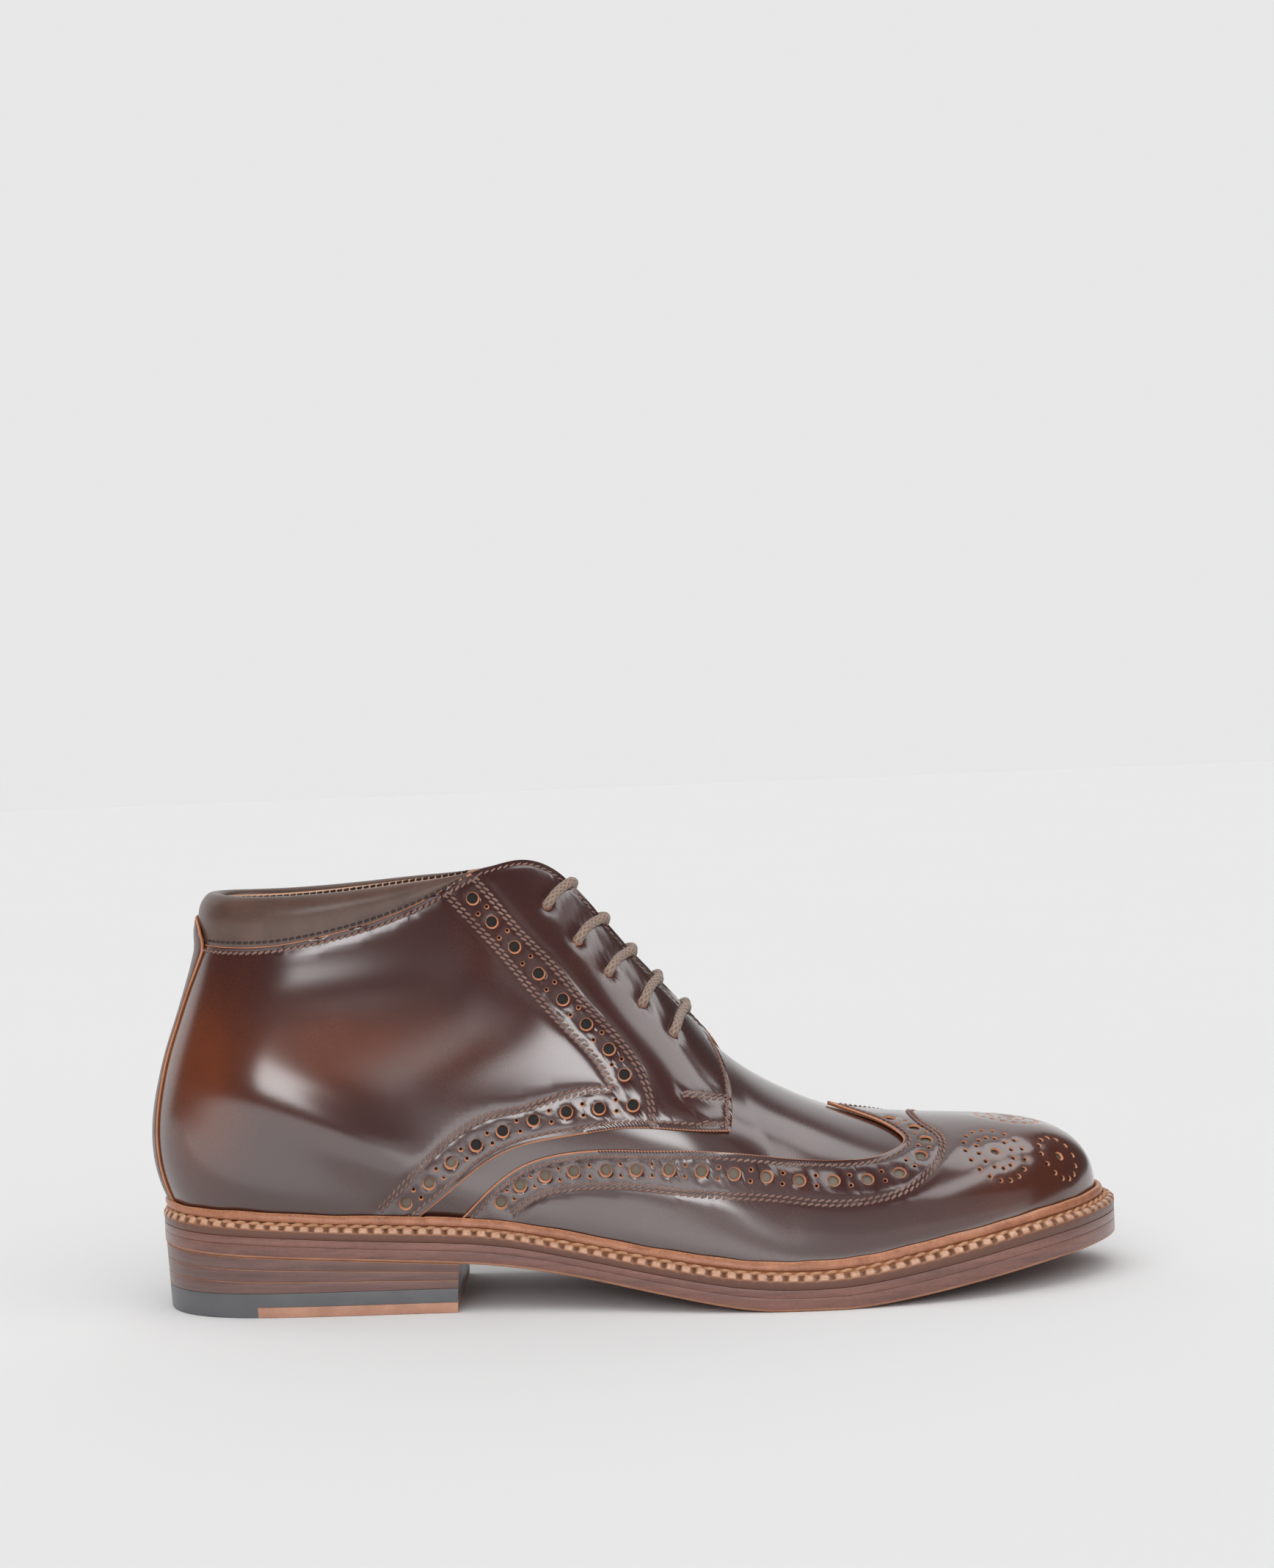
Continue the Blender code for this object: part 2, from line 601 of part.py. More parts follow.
def lace_route():
    """The lace's middle line; rows count from the lowest bar, a shift moves a hidden run over the facing."""
    over = LACE_RADIUS + LACE_CLEAR
    under = -(WALL + LACE_RADIUS + LACE_SLACK)
    hole_rows = list(zip(HOLES.x, HOLES.z, HOLES.edge_x))
    outer, inner = (
        [(*spot(x, z, side), throat_turn(edge_x, side)) for x, z, edge_x in hole_rows]
        for side in (False, True)
    )

    def to_edge_point(place, share):
        """A point of the bar on its way from the hole to the facing's edge."""
        turn, climb, edge_turn = place
        return off_last(turn + (edge_turn - turn) * share, climb + (1 - climb) * share, over)

    def hole(place, run_step):
        """Up through a hole: from a hidden run along the facing to a bar across the throat."""
        turn, climb, _ = place
        axis, normal = last_surface(turn, climb), last_normal(turn, climb)
        to_edge = to_edge_point(place, 0.1) - to_edge_point(place, 0.0)
        to_edge /= np.linalg.norm(to_edge)
        to_run = last_surface(turn + run_step, climb) - axis
        to_run /= np.linalg.norm(to_run)
        part_way = 0.3 * LACE_BEND
        return [
            axis + normal * under + to_run * LACE_BEND,
            axis + normal * (under + part_way) + to_run * part_way,
            axis - normal * WALL / 2,
            axis + normal * (over - part_way) + to_edge * part_way,
            axis + normal * over + to_edge * LACE_BEND,
        ]

    def bar(row, start, end, from_run, to_run):
        """From under one facing, up, across the throat and down under the other."""
        first, second = start[row], end[row]
        points = hole(first, from_run)
        points += [to_edge_point(first, share) for share in (0.6, 1.0)]
        middle = (to_edge_point(first, 1.0) + to_edge_point(second, 1.0)) / 2
        points.append(middle + BAR_DIP)
        points += [to_edge_point(second, share) for share in (1.0, 0.6)]
        return points + hole(second, to_run)[::-1]

    def hidden(start, end, shift, shares):
        """Between the facing and the tongue, from one hole's row to another's."""
        share = np.array(shares)
        turn = start[0] + (end[0] - start[0]) * share
        climb = start[1] + (end[1] - start[1]) * share + shift
        return list(off_last(turn, climb, under))

    down_outer, up_outer = 0.3, -0.3
    down_inner, up_inner = -0.3, 0.3
    to_throat, from_throat = 0.03, -0.035
    one_row, two_rows, loose_end = (0.5,), (0.3, 0.5, 0.7), (0.2, 0.5)
    route = hidden(outer[4], outer[3], from_throat, loose_end)
    route += bar(3, outer, inner, up_outer, down_inner)
    route += hidden(inner[3], inner[1], to_throat, two_rows)
    route += bar(1, inner, outer, up_inner, down_outer)
    route += hidden(outer[1], outer[0], 0.0, one_row)
    route += bar(0, outer, inner, up_outer, up_inner)
    route += hidden(inner[0], inner[2], from_throat, two_rows)
    route += bar(2, inner, outer, down_inner, up_outer)
    route += hidden(outer[2], outer[4], to_throat, two_rows)
    route += bar(4, outer, inner, down_outer, down_inner)
    return np.array(route)


def make_lace():
    route = lace_route()
    curve = bpy.data.curves.new("lace", "CURVE")
    curve.dimensions = "3D"
    curve.bevel_depth = LACE_RADIUS * MM
    curve.bevel_resolution = 2
    curve.use_fill_caps = True
    line = curve.splines.new("POLY")
    line.points.add(len(route) - 1)
    for point, place in zip(line.points, route * MM):
        point.co = (*place, 1.0)
    piece("lace", curve, finish("lace_braid", (0.20, 0.13, 0.10), 0.8))


centre_boot()
make_sole()
make_welt()
make_heel()
make_upper()
make_collar()
make_tongue()
make_lace()
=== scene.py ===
import math
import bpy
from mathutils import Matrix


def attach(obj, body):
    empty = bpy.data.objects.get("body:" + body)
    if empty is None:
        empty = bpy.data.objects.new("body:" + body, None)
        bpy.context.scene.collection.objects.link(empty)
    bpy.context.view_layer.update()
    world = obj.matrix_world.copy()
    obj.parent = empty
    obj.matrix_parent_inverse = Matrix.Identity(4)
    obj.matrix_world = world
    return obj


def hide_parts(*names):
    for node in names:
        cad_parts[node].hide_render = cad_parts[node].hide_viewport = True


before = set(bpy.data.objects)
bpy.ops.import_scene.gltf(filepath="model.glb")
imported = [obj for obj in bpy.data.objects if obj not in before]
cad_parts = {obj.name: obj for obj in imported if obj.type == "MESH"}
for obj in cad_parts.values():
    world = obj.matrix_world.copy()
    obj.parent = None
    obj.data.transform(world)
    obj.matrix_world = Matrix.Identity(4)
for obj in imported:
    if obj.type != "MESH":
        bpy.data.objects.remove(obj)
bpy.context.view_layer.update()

from types import SimpleNamespace

import bpy
import numpy as np
from mathutils import Matrix, Vector, kdtree
from mathutils.geometry import delaunay_2d_cdt

# Looks of a right-foot brogue boot. Sizes are millimetres: x from the back of the heel to the toe, y from the
# heel's centre line with minus on the outer side, z from the floor. Meshes are put in metres by to_model.
MM = 0.001


def table(columns, *rows):
    """A short table as one array for each named column."""
    return SimpleNamespace(**dict(zip(columns.split(), np.array(rows, float).T)))


def rows_of(listed):
    return zip(*vars(listed).values())


# The last, as in the solid parts: sections from the heel's back round either side to the toe's tip.
LAST = table(
    "foot_x foot_out foot_in aim rise flare crest_x crest_z low_in half ridge reach drop seam "
    "welt_out welt_in",
    (6.5, 0.0, 0.0, 180, 31, 20.0, 18.5, 132.2, 0.0, 0.0, 0.0, 1.5, 38, 116.6, 5.3, 5.3),
    (10.3, 14.0, 14.0, 150, 31, 17.0, 22.0, 132.0, 0.0, 12.6, 0.0, 1.7, 38, 116.3, 5.3, 5.3),
    (20.0, 23.4, 23.0, 122, 31, 13.0, 30.5, 131.5, 0.0, 21.2, 0.0, 1.9, 38, 115.8, 5.4, 5.3),
    (36.0, 28.4, 27.6, 100, 31, 9.0, 45.0, 131.3, 0.0, 26.3, 0.0, 2.0, 38, 116.3, 5.6, 5.3),
    (60.0, 30.2, 28.0, 90, 31, 6.0, 66.0, 132.2, 0.0, 27.8, 0.0, 2.5, 38, 120.2, 5.8, 5.2),
    (85.0, 31.0, 26.0, 90, 31, 4.0, 88.0, 134.2, 0.5, 26.6, 0.0, 3.5, 38, 127.4, 6.0, 5.0),
    (110.0, 32.4, 24.0, 90, 31, 3.0, 107.0, 136.6, 1.5, 23.2, 0.0, 6.0, 38, 136.6, 6.3, 4.8),
    (132.0, 35.4, 24.4, 90, 32, 2.0, 122.0, 139.2, 2.0, 17.4, 0.0, 9.0, 33, 139.2, 6.7, 4.9),
    (152.0, 39.6, 27.8, 90, 34, 2.0, 136.0, 130.9, 1.5, 11.4, 0.0, 13.0, 20, 130.9, 7.2, 5.2),
    (170.0, 43.6, 32.8, 90, 32, 2.0, 152.0, 110.8, 0.8, 9.4, 0.5, 16.0, 11, 110.8, 7.7, 5.9),
    (187.0, 46.4, 37.2, 90, 28, 2.0, 168.0, 92.2, 0.3, 8.0, 1.0, 18.0, 7, 92.2, 8.0, 6.6),
    (203.0, 47.7, 40.7, 90, 26, 2.0, 184.0, 74.4, 0.0, 0.0, 1.5, 19.0, 1, 74.4, 8.0, 7.0),
    (219.0, 47.2, 42.9, 90, 25, 2.0, 203.0, 61.0, 0.0, 0.0, 2.2, 20.0, 0, 61.0, 8.0, 7.3),
    (236.0, 44.8, 43.5, 82, 24, 2.0, 222.0, 53.2, 0.0, 0.0, 3.2, 22.0, 0, 53.2, 8.0, 7.4),
    (254.0, 40.5, 42.0, 75, 23, 2.0, 241.0, 50.6, 0.0, 0.0, 4.2, 22.0, 0, 50.6, 7.8, 7.4),
    (270.0, 33.5, 38.6, 66, 22, 2.0, 257.0, 49.7, 0.0, 0.0, 5.0, 20.0, 0, 49.7, 7.4, 7.2),
    (284.0, 24.0, 32.5, 53, 20, 2.5, 269.0, 48.6, 0.0, 0.0, 5.8, 18.0, 0, 48.6, 7.1, 7.1),
    (294.8, 11.5, 23.5, 33, 18, 2.5, 277.0, 47.4, 0.0, 0.0, 6.3, 15.0, 1, 47.4, 6.9, 6.9),
    (301.3, -6.5, 6.5, 0, 17, 2.5, 280.5, 46.6, 0.0, 0.0, 6.5, 11.0, 1.5, 46.6, 6.9, 6.9),
)
TOE_ROW = len(LAST.foot_x) - 1
LOOP_ROWS = 2 * TOE_ROW
FACING_ROW = 6
THROAT_ROW = 11

# The sole from the side: the tread's height and the top of the welt's flange.
SOLE = table(
    "x tread top",
    (-5, 21.3, 30.5),
    (30, 19.3, 28.6),
    (60, 17.6, 26.6),
    (90, 15.9, 25.0),
    (110, 14.4, 23.4),
    (125, 12.3, 20.8),
    (140, 9.6, 17.9),
    (155, 6.5, 15.0),
    (170, 3.5, 12.4),
    (183, 1.2, 10.6),
    (195, 0.0, 9.7),
    (218, 0.0, 9.9),
    (230, 1.1, 11.4),
    (245, 3.2, 13.8),
    (260, 5.5, 16.3),
    (280, 8.3, 19.2),
    (300, 10.2, 21.0),
    (312, 10.8, 21.5),
)

# Lace holes on either facing, from the lowest up, and the x at which each bar leaves the facing's edge.
HOLES = table(
    "x z edge_x",
    (167.1, 83.0, 171.0),
    (157.8, 92.7, 162.5),
    (147.5, 102.9, 154.5),
    (138.2, 113.3, 146.0),
    (128.9, 124.8, 136.0),
)

# The tongue from its sewn end up: the middle line, and how far its edges stand aside, back and down from it.
TONGUE = table(
    "x z half back down",
    (197.0, 60.6, 15.0, 3.5, 6.5),
    (189.0, 65.9, 15.5, 5.0, 7.5),
    (178.3, 73.2, 16.0, 9.0, 10.0),
    (163.2, 87.8, 16.0, 12.5, 11.0),
    (146.9, 106.2, 16.0, 13.0, 11.0),
    (130.9, 126.0, 17.0, 21.0, 8.0),
    (124.8, 134.6, 19.6, 34.0, 2.0),
)
TONGUE_THICK = 2.0
TONGUE_WRAP = 80

WALL = 2.4
FOREFOOT_FLAT = (195.0, 218.0)
OUTSOLE_SHARE, MIDSOLE_SHARE = 0.44, 0.70
HEEL_LENGTH = 98.0
HEEL_TAPER = math.tan(math.radians(3.0))
HEEL_INSET = 0.4
LIFTS = 3
RUBBER_TOP = 7.7
POCKET_TOP = 3.4
POCKET_FROM = 34.0
# How far the pocket's cutter goes past the rubber, and half of its width.
POCKET_PAST, POCKET_HALF = 5.0, 45.0
COLLAR_END_ROW = 5.95
COLLAR_HEIGHT = 14.0
COLLAR_BULGE, COLLAR_PAD = 1.6, 3.4
# From where to where the collar's section is lined, as shares of the way round it.
COLLAR_LINED = (0.62, 0.96)
# The collar's section from its seam over the rim to the inside: the share of its height, and how far out it
# lies in bulges, pads and walls.
COLLAR_SECTION = (
    (0.0, 0.0, 0.0, 0.05),
    (0.22, 0.6, 0.0, 0.0),
    (0.5, 1.0, 0.0, 0.0),
    (0.76, 0.75, 0.0, 0.0),
    (0.94, 0.0, -0.15, 0.0),
    (1.0, 0.0, -0.4, -0.5),
    (0.94, 0.0, -0.75, -1.0),
    (0.7, 0.0, -1.0, -1.0),
    (0.35, 0.0, -0.75, -1.0),
    (0.0, 0.0, 0.0, -1.0),
)
# How far from the collar's ends its stitches stop, and how they lean.
COLLAR_STITCH_END, COLLAR_SLANT = 4.0, 0.1
INSOLE_INSET, INSOLE_RISE, INSOLE_ROUND = 3.4, 1.4, 0.4
WELT_TUCK = 2.6
SOLE_JOINT, SOLE_ROUND, TREAD_ROUND = 0.05, 0.1, 0.8
# The outsole's lower rounding on either side, as shares of the way round its section.
OUTSOLE_BARE = ((-1.0, 0.1), (0.633, 0.734))
HEEL_JOINT, HEEL_ROUND, RUBBER_ROUND, LIFT_BARE = 0.03, 0.2, 0.3, 0.6

# The camera in millimetres and pixels of the photograph; roll lifts the picture's right side.
PHOTO_SIZE = (1736, 2137)
FOCAL_PIXELS = 4022
CAMERA_AT = np.array([158.9, -950.0, 186.0])
CAMERA_PITCH = math.radians(1.49)
CAMERA_ROLL = math.radians(2.3)
SENSOR = 36.0

# The studio: the backdrop's light, the soft sun overhead with its tilt in degrees, and the floor's size in
# metres, parts, drop and tones.
BACKDROP, SKY, SKY_TILT, SKY_ANGLE = 0.8, 2.4, 30.0, 100.0
FLOOR_SIZE, FLOOR_PARTS, FLOOR_DROP = 12, 40, 5e-5
FLOOR_TONE = ((0.816, 0.816, 0.816), (0.826, 0.826, 0.826))
# What the room's walls add to the backdrop's light: bearing from the camera's side towards the toe, height
# over the floor and softness, all in degrees, and strength.
LIGHTS = table(
    "left right low high soft added",
    (-112, 152, -90, 80, 8, -0.73),
    (-20, -2, 11.5, 28, 3, 5.6),
)
# White cards: middle, how far each is tipped from facing down and turned, in degrees, its size and light,
# and whether it lights matt surfaces too. One lies on the floor, the low ones stand before the boot in layers
# that fade upwards, and the high ones are two soft boxes over the vamp and the toe.
CARDS = table(
    "x y z tip turn length width light matt",
    (154, -500, 2, 180, 0, 1800, 780, 0.5, 1),
    (360, -165, 35, 90, 0, 560, 70, 0.7, 0),
    (378, -165, 52, 90, 0, 525, 105, 0.42, 0),
    (395, -165, 70, 90, 0, 490, 140, 0.38, 0),
    (400, -165, 90, 90, 0, 480, 180, 0.3, 0),
    (418, 85, 400, 0, 55, 225, 80, 2.0, 0),
    (418, 85, 400, 0, 55, 250, 112, 2.0, 0),
    (418, 85, 400, 0, 55, 275, 145, 2.0, 0),
    (531, -180, 520, 0, 66, 420, 65, 2.4, 0),
    (531, -180, 520, 0, 66, 440, 105, 2.4, 0),
    (531, -180, 520, 0, 66, 460, 145, 2.4, 0),
)

# Leather: heights are over the last's surface, from the lowest layer up.
LEATHER = 1.15
VAMP_TOP, VAMP_THICK = -1.15, 0.85
# How far the vamp runs on under the quarters, up to which turn, and the places where it ends above that.
VAMP_UNDER, VAMP_TURN = 8.0, 9.6
VAMP_REAR = ((10.1, 0.72), (10.25, 0.88), (10.3, 1.0))
WING_TOP = 0.5
QUARTER_TOP = 0.55
STRAP_TOP, STRAP_LIFT, STRAP_TIP = 1.45, 1.2, (114.0, 119.0)
# Half of the back strap, wider at its foot and its tab: turns from the back and heights.
STRAP_FOOT, STRAP_THICK = 0.85, 0.85
STRAP_SIDE = ((0.66, 55), (0.55, 80), (0.62, 98), (0.9, 110), (1.02, 116.5), (0.75, 121.5), (0.0, 124.5))
BACKING_TOP, BACKING_THICK = -1.0, 0.2
# How far from each hole the vamp's painted reflection reaches.
HOLE_REFLECTION_REACH = 3.4
LINING_TOP, LINING_THICK = -2.05, 0.7
STITCH_DIP = 0.32
HOLE_DIP, HOLE_LEAN = 0.24, 0.5
EDGE_DIP = 0.22
LACE_DIP = 0.45
# How far each of these dips reaches, and how far a folded edge shows the leather's own face.
EDGE_REACH, STITCH_REACH, LACE_REACH, HOLE_REACH, FOLD_REACH = 0.45, 0.9, 1.6, 1.1, 1.6
LACE_RADIUS = 1.55

STITCH_PITCH = 2.2
STITCH_RADIUS, STITCH_SLANT = 0.4, 0.36
STITCH_SIDES = 6
# A stitch from end to end: share of its length, lift and width in radii, lean in slants.
STITCH = table(
    "share lift lean width",
    (0.0, -1.6, -1.0, 0.45),
    (0.14, 0.0, -0.75, 1.0),
    (0.5, 0.5, 0.0, 1.1),
    (0.86, 0.0, 0.75, 1.0),
    (1.0, -1.6, 1.0, 0.45),
)
FOLD_THREAD = 0.28
DOUBLE_ROW = 0.68
EDGE_ROW, FOLD_ROW, BESIDE_ROW = 2.1, 1.3, 0.85
WELT_PITCH = 4.6
WELT_THREAD = 0.62
# The welt's cord: where it runs from lip to edge and how far it sways there, its height, wobble and slant.
CORD_LINE, CORD_SWAY, CORD_RISE, CORD_WOBBLE, CORD_SLANT = 0.32, 0.09, 1.25, 0.15, 0.4
# A step far from a whole turn, for sines that vary from stitch to stitch.
WELT_JITTER = 12.9
BEAD_HEIGHT = 1.0
LIP_OUT, WELT_MIDDLE, LIP_STEP = 2.9, 3.5, 0.6
# The lip's unevenness: its waves' sizes, rates and starts, and the pinch at its joint with the pinch's reach.
LIP_WAVES = ((0.1, 2.9, 0.0), (0.07, 7.3, 1.0))
LIP_PINCH, LIP_PINCH_REACH = 0.45, 0.8
# The lip's section: out from the wall, up from the flange, and how much of its unevenness each point takes.
LIP_SECTION = (
    (2.75, 1.5, 0.0), (3.0, 2.3, 0.4), (2.95, 3.1, 0.8), (2.6, 3.95, 1.0), (2.05, 4.5, 1.0), (1.4, 4.7, 1.0),
    (0.95, 4.4, 0.6), (0.75, 3.2, 0.0), (0.75, 1.4, 0.0), (0.75, -0.3, 0.0),
)

# Seams, holes and rows of the outer side as they show, in pixels of the photograph.
QUARTER_EDGE_PX = (
    (580, 1652), (610, 1627), (636, 1605), (679, 1575), (734, 1556), (799, 1545), (898, 1539), (994, 1545),
)
FACING_FRONT_PX = ((994, 1545), (995, 1508), (993, 1472), (987, 1452), (980, 1436))
CORNER_TURN = 10.6
WING_EDGE_PX = (
    (632, 1657), (670, 1618), (713, 1588), (768, 1572), (832, 1567), (870, 1568), (982, 1572), (1070, 1581),
    (1136, 1583), (1184, 1579), (1220, 1566), (1231, 1555), (1222, 1544), (1193, 1528),
)
WING_ROW_PX = (
    (696, 1654), (726, 1633), (768, 1620), (820, 1616), (870, 1618), (938, 1626), (1026, 1632), (1114, 1640),
    (1180, 1638), (1233, 1623), (1268, 1596), (1283, 1570), (1279, 1548), (1259, 1535),
)
FACING_FRONT_ROW_PX = (
    (644, 1196), (666, 1221), (708, 1271), (764, 1329), (795, 1367), (844, 1419), (870, 1456), (884, 1492),
    (890, 1537),
)
FACING_REAR_ROW_PX = (
    (606, 1216), (638, 1251), (671, 1286), (706, 1327), (745, 1373), (789, 1419), (819, 1454), (836, 1485),
)
BAND_ROW_PX = (
    (836, 1485), (819, 1485), (759, 1496), (700, 1514), (670, 1520), (606, 1558), (563, 1601), (516, 1650),
)
TACK_PX = ((929, 1492), (960, 1496), (991, 1499))
CORNER_TACK_PX = ((955, 1531), (985, 1535))
SIDE_TACK_PX = ((985, 1506), (988, 1537))
FACING_HOLES_PX = (
    (644, 1225), (670, 1257), (701, 1291), (734, 1327), (767, 1362), (799, 1396), (830, 1430), (851, 1465),
    (863, 1507),
)
BAND_HOLES_PX = (
    (863, 1507), (817, 1511), (772, 1516), (727, 1527), (685, 1542), (649, 1561), (615, 1584), (585, 1612),
    (553, 1640),
)
WING_HOLES_PX = (
    (683, 1639), (709, 1616), (743, 1603), (782, 1597), (826, 1595), (867, 1595), (912, 1595), (956, 1597),
    (1000, 1601), (1044, 1605), (1089, 1610), (1136, 1610), (1182, 1608), (1226, 1599), (1255, 1575),
    (1262, 1554), (1246, 1538), (1212, 1526),
)
WING_PEAK_X = 216.0
WING_ROW_PEAK_X = 243.0
MEDALLION_PX = ((1356, 1570), (1443, 1576))
MEDALLION_CENTRE_X = 274.3
# The rosettes on the middle line, beside it and in front: height to width, then each ring's radius and count.
ROSETTE_MIDDLE = (1.0, ((5.9, 12), (10.0, 17)))
ROSETTE_SIDE = (1.25, ((5.7, 12), (9.6, 17)))
ROSETTE_FRONT = (1.1, ((7.4, 13),))
ROSETTE_GAP = 2.7
LIP_JOINT_PX = (577, 1657)
BACKING_PX = (
    (650, 1206), (712, 1276), (800, 1372), (874, 1460), (885, 1530), (800, 1538), (735, 1549), (672, 1570),
    (640, 1592), (618, 1570), (640, 1545), (672, 1526), (702, 1519), (760, 1501), (826, 1490), (812, 1452),
    (740, 1372), (665, 1284), (612, 1226),
)
RAW_EDGE, RAW_INSIDE = -2, -3
RAW_WIDTH, RAW_DROP = 0.5, 0.25
LARGE_HOLE, SMALL_HOLE, LACE_HOLE, ROSETTE_HOLE, ROSETTE_DOT = 2.15, 0.8, 1.8, 1.6, 0.9
# Holes wider than this have more sides and the first of the two bevels.
WIDE_HOLE, HOLE_BEVELS = 1.3, (0.42, 0.3)
FEW_SIDES, MANY_SIDES, HOLE_RIM = 12, 20, 0.7
# How far holes keep from the outline and from each other, and from each other on the flat, in radii.
HOLE_TO_EDGE, HOLE_TO_HOLE, HOLE_FLAT = 0.6, 0.3, 1.05
PAIR_SPREAD = 1.75
LACE_BEND = 2.6
LACE_OVER = 1.5
LACE_UNDER = -4.7
LACE_BRAID_TURNS, LACE_STRANDS = 190.0, 6.0
BAR_DIP = np.array([-1.0, 0.0, -3.4])
BAR_SAG = ((0.22, 0.7), (0.5, 1), (0.78, 0.7))


def curve(knots, values):
    """A natural cubic spline through a value, or a row of values, at each knot, as a function."""
    knots, values = np.asarray(knots, float), np.asarray(values, float)
    count, step = len(knots), np.diff(knots)
    system = np.eye(count)
    slope = (np.diff(values, axis=0).T / step).T
    force = np.zeros_like(values)
    for i in range(1, count - 1):
        system[i, i - 1 : i + 2] = step[i - 1], 2 * (step[i - 1] + step[i]), step[i]
        force[i] = 6 * (slope[i] - slope[i - 1])
    bend = np.linalg.solve(system, force)

    def value(at):
        at = np.asarray(at, float)
        i = np.clip(np.searchsorted(knots, at) - 1, 0, count - 2)
        shape = at.shape + (1,) * (values.ndim - 1)
        h, a, b = (part.reshape(shape) for part in (step[i], knots[i + 1] - at, at - knots[i]))
        curved = (bend[i] * a**3 + bend[i + 1] * b**3) / (6 * h)
        return curved + (values[i] / h - bend[i] * h / 6) * a + (values[i + 1] / h - bend[i + 1] * h / 6) * b

    return value


def spline(knots, values, at):
    return curve(knots, values)(at)


def round_loop(outer, inner):
    """One value per row of the whole loop: the outer side from heel to toe, then the inner side back."""
    return np.concatenate([outer, inner[-2:0:-1]])


def alike(values):
    return round_loop(values, values)


def both_sides(outer_minus, inner_plus):
    return round_loop(-np.asarray(outer_minus), np.asarray(inner_plus))


def stack(*columns):
    return np.stack(np.broadcast_arrays(*columns), axis=-1)


def unit(vectors):
    return vectors / np.linalg.norm(vectors, axis=-1, keepdims=True)


def lengths(points):
    """How far along a line of points each of them lies."""
    return np.concatenate([[0], np.cumsum(np.linalg.norm(np.diff(points, axis=0), axis=1))])


def raised(plan, heights):
    """Points seen from above, put at their heights."""
    return np.concatenate([plan, heights[:, None]], axis=-1)


tread_curve, flange_curve = curve(SOLE.x, SOLE.tread), curve(SOLE.x, SOLE.top)


def tread(x):
    flat_from, flat_to = FOREFOOT_FLAT
    height = np.maximum(tread_curve(x), 0.0)
    return np.where((x >= flat_from) & (x <= flat_to), 0.0, height)


def sole_level(x, share):
    """A height in the sole, from 0 at the tread to 1 at the top of the welt's flange."""
    return tread(x) + share * (flange_curve(x) - tread(x))


def loop_curve(loop):
    """A smooth closed curve through one value per row of the whole loop."""
    margin = 6
    rows = np.arange(-margin, LOOP_ROWS + margin + 1)
    return curve(rows, loop[rows % LOOP_ROWS])


AIM_X = np.cos(np.radians(LAST.aim))
AIM_Y = np.sin(np.radians(LAST.aim))
GAP = 0.3
FOOT_LOOP = loop_curve(stack(
    alike(LAST.foot_x),
    both_sides(LAST.foot_out, LAST.foot_in),
    alike(sole_level(LAST.foot_x, 1.0)) + GAP,
))
START_LOOP = loop_curve(stack(
    alike(LAST.flare * AIM_X),
    both_sides(LAST.flare * AIM_Y, LAST.flare * AIM_Y),
    alike(LAST.rise),
))
CREST_LOOP = loop_curve(stack(
    alike(LAST.crest_x),
    alike(LAST.ridge),
    alike(LAST.crest_z),
))
END_LOOP = loop_curve(stack(
    alike(LAST.reach * AIM_X),
    both_sides(LAST.reach * AIM_Y, LAST.reach * AIM_Y),
    alike(-LAST.drop),
))
OPENING_LOOP = loop_curve(stack(both_sides(LAST.half, LAST.half), round_loop(0 * LAST.low_in, -LAST.low_in)))
SEAM_LOOP = loop_curve(round_loop(LAST.seam, LAST.seam - LAST.low_in))
WELT_LOOP = loop_curve(round_loop(LAST.welt_out, LAST.welt_in))
FAN_LOOP = loop_curve(stack(alike(AIM_X), both_sides(AIM_Y, AIM_Y)))


def around(loop, turn):
    """A smooth value at any turn, in rows round the closed loop."""
    return loop(np.mod(turn, LOOP_ROWS))


def row_of(turn):
    return np.minimum(np.mod(turn, LOOP_ROWS), LOOP_ROWS - np.mod(turn, LOOP_ROWS))


def crest_line(turn):
    crest = around(CREST_LOOP, turn)
    crest[..., 1:] += np.where(row_of(turn) < THROAT_ROW, 1.0, 0.0)[..., None] * around(OPENING_LOOP, turn)
    return crest


def last_surface(turn, climb):
    """A point on the last at a turn round it and a climb from 0 at the feather line to 1 at the crest."""
    turn, climb = np.broadcast_arrays(np.asarray(turn, float), np.asarray(climb, float))
    foot, crest = around(FOOT_LOOP, turn), crest_line(turn)
    start = foot + around(START_LOOP, turn)
    end = crest + around(END_LOOP, turn)
    v = climb[..., None]
    u = 1 - v
    return u**3 * foot + 3 * u**2 * v * start + 3 * u * v**2 * end + v**3 * crest


TANGENT_STEP = 0.002


def tangents(turn, climb):
    """How the last's surface moves for one row and for the whole climb."""
    by_turn = last_surface(turn + TANGENT_STEP, climb) - last_surface(turn - TANGENT_STEP, climb)
    by_climb = last_surface(turn, climb + TANGENT_STEP) - last_surface(turn, climb - TANGENT_STEP)
    return by_turn / (2 * TANGENT_STEP), by_climb / (2 * TANGENT_STEP)


def last_normal(turn, climb):
    return unit(np.cross(*tangents(np.asarray(turn, float), np.asarray(climb, float))))


def off_last(turn, climb, height):
    """A point at a height above the last's surface, or below it if negative."""
    turn, climb = np.broadcast_arrays(np.asarray(turn, float), np.asarray(climb, float))
    return last_surface(turn, climb) + last_normal(turn, climb) * np.asarray(height)[..., None]


def climb_at_height(turn, z):
    """The climb at which each section reaches a height."""
    climbs = np.linspace(0, 1, 101)
    heights = last_surface(np.asarray(turn)[:, None], climbs[None, :])[..., 2]
    return np.array([np.interp(wanted, row, climbs) for wanted, row in zip(z, heights)])


def seam_climb(turn):
    return climb_at_height(turn, around(SEAM_LOOP, turn))


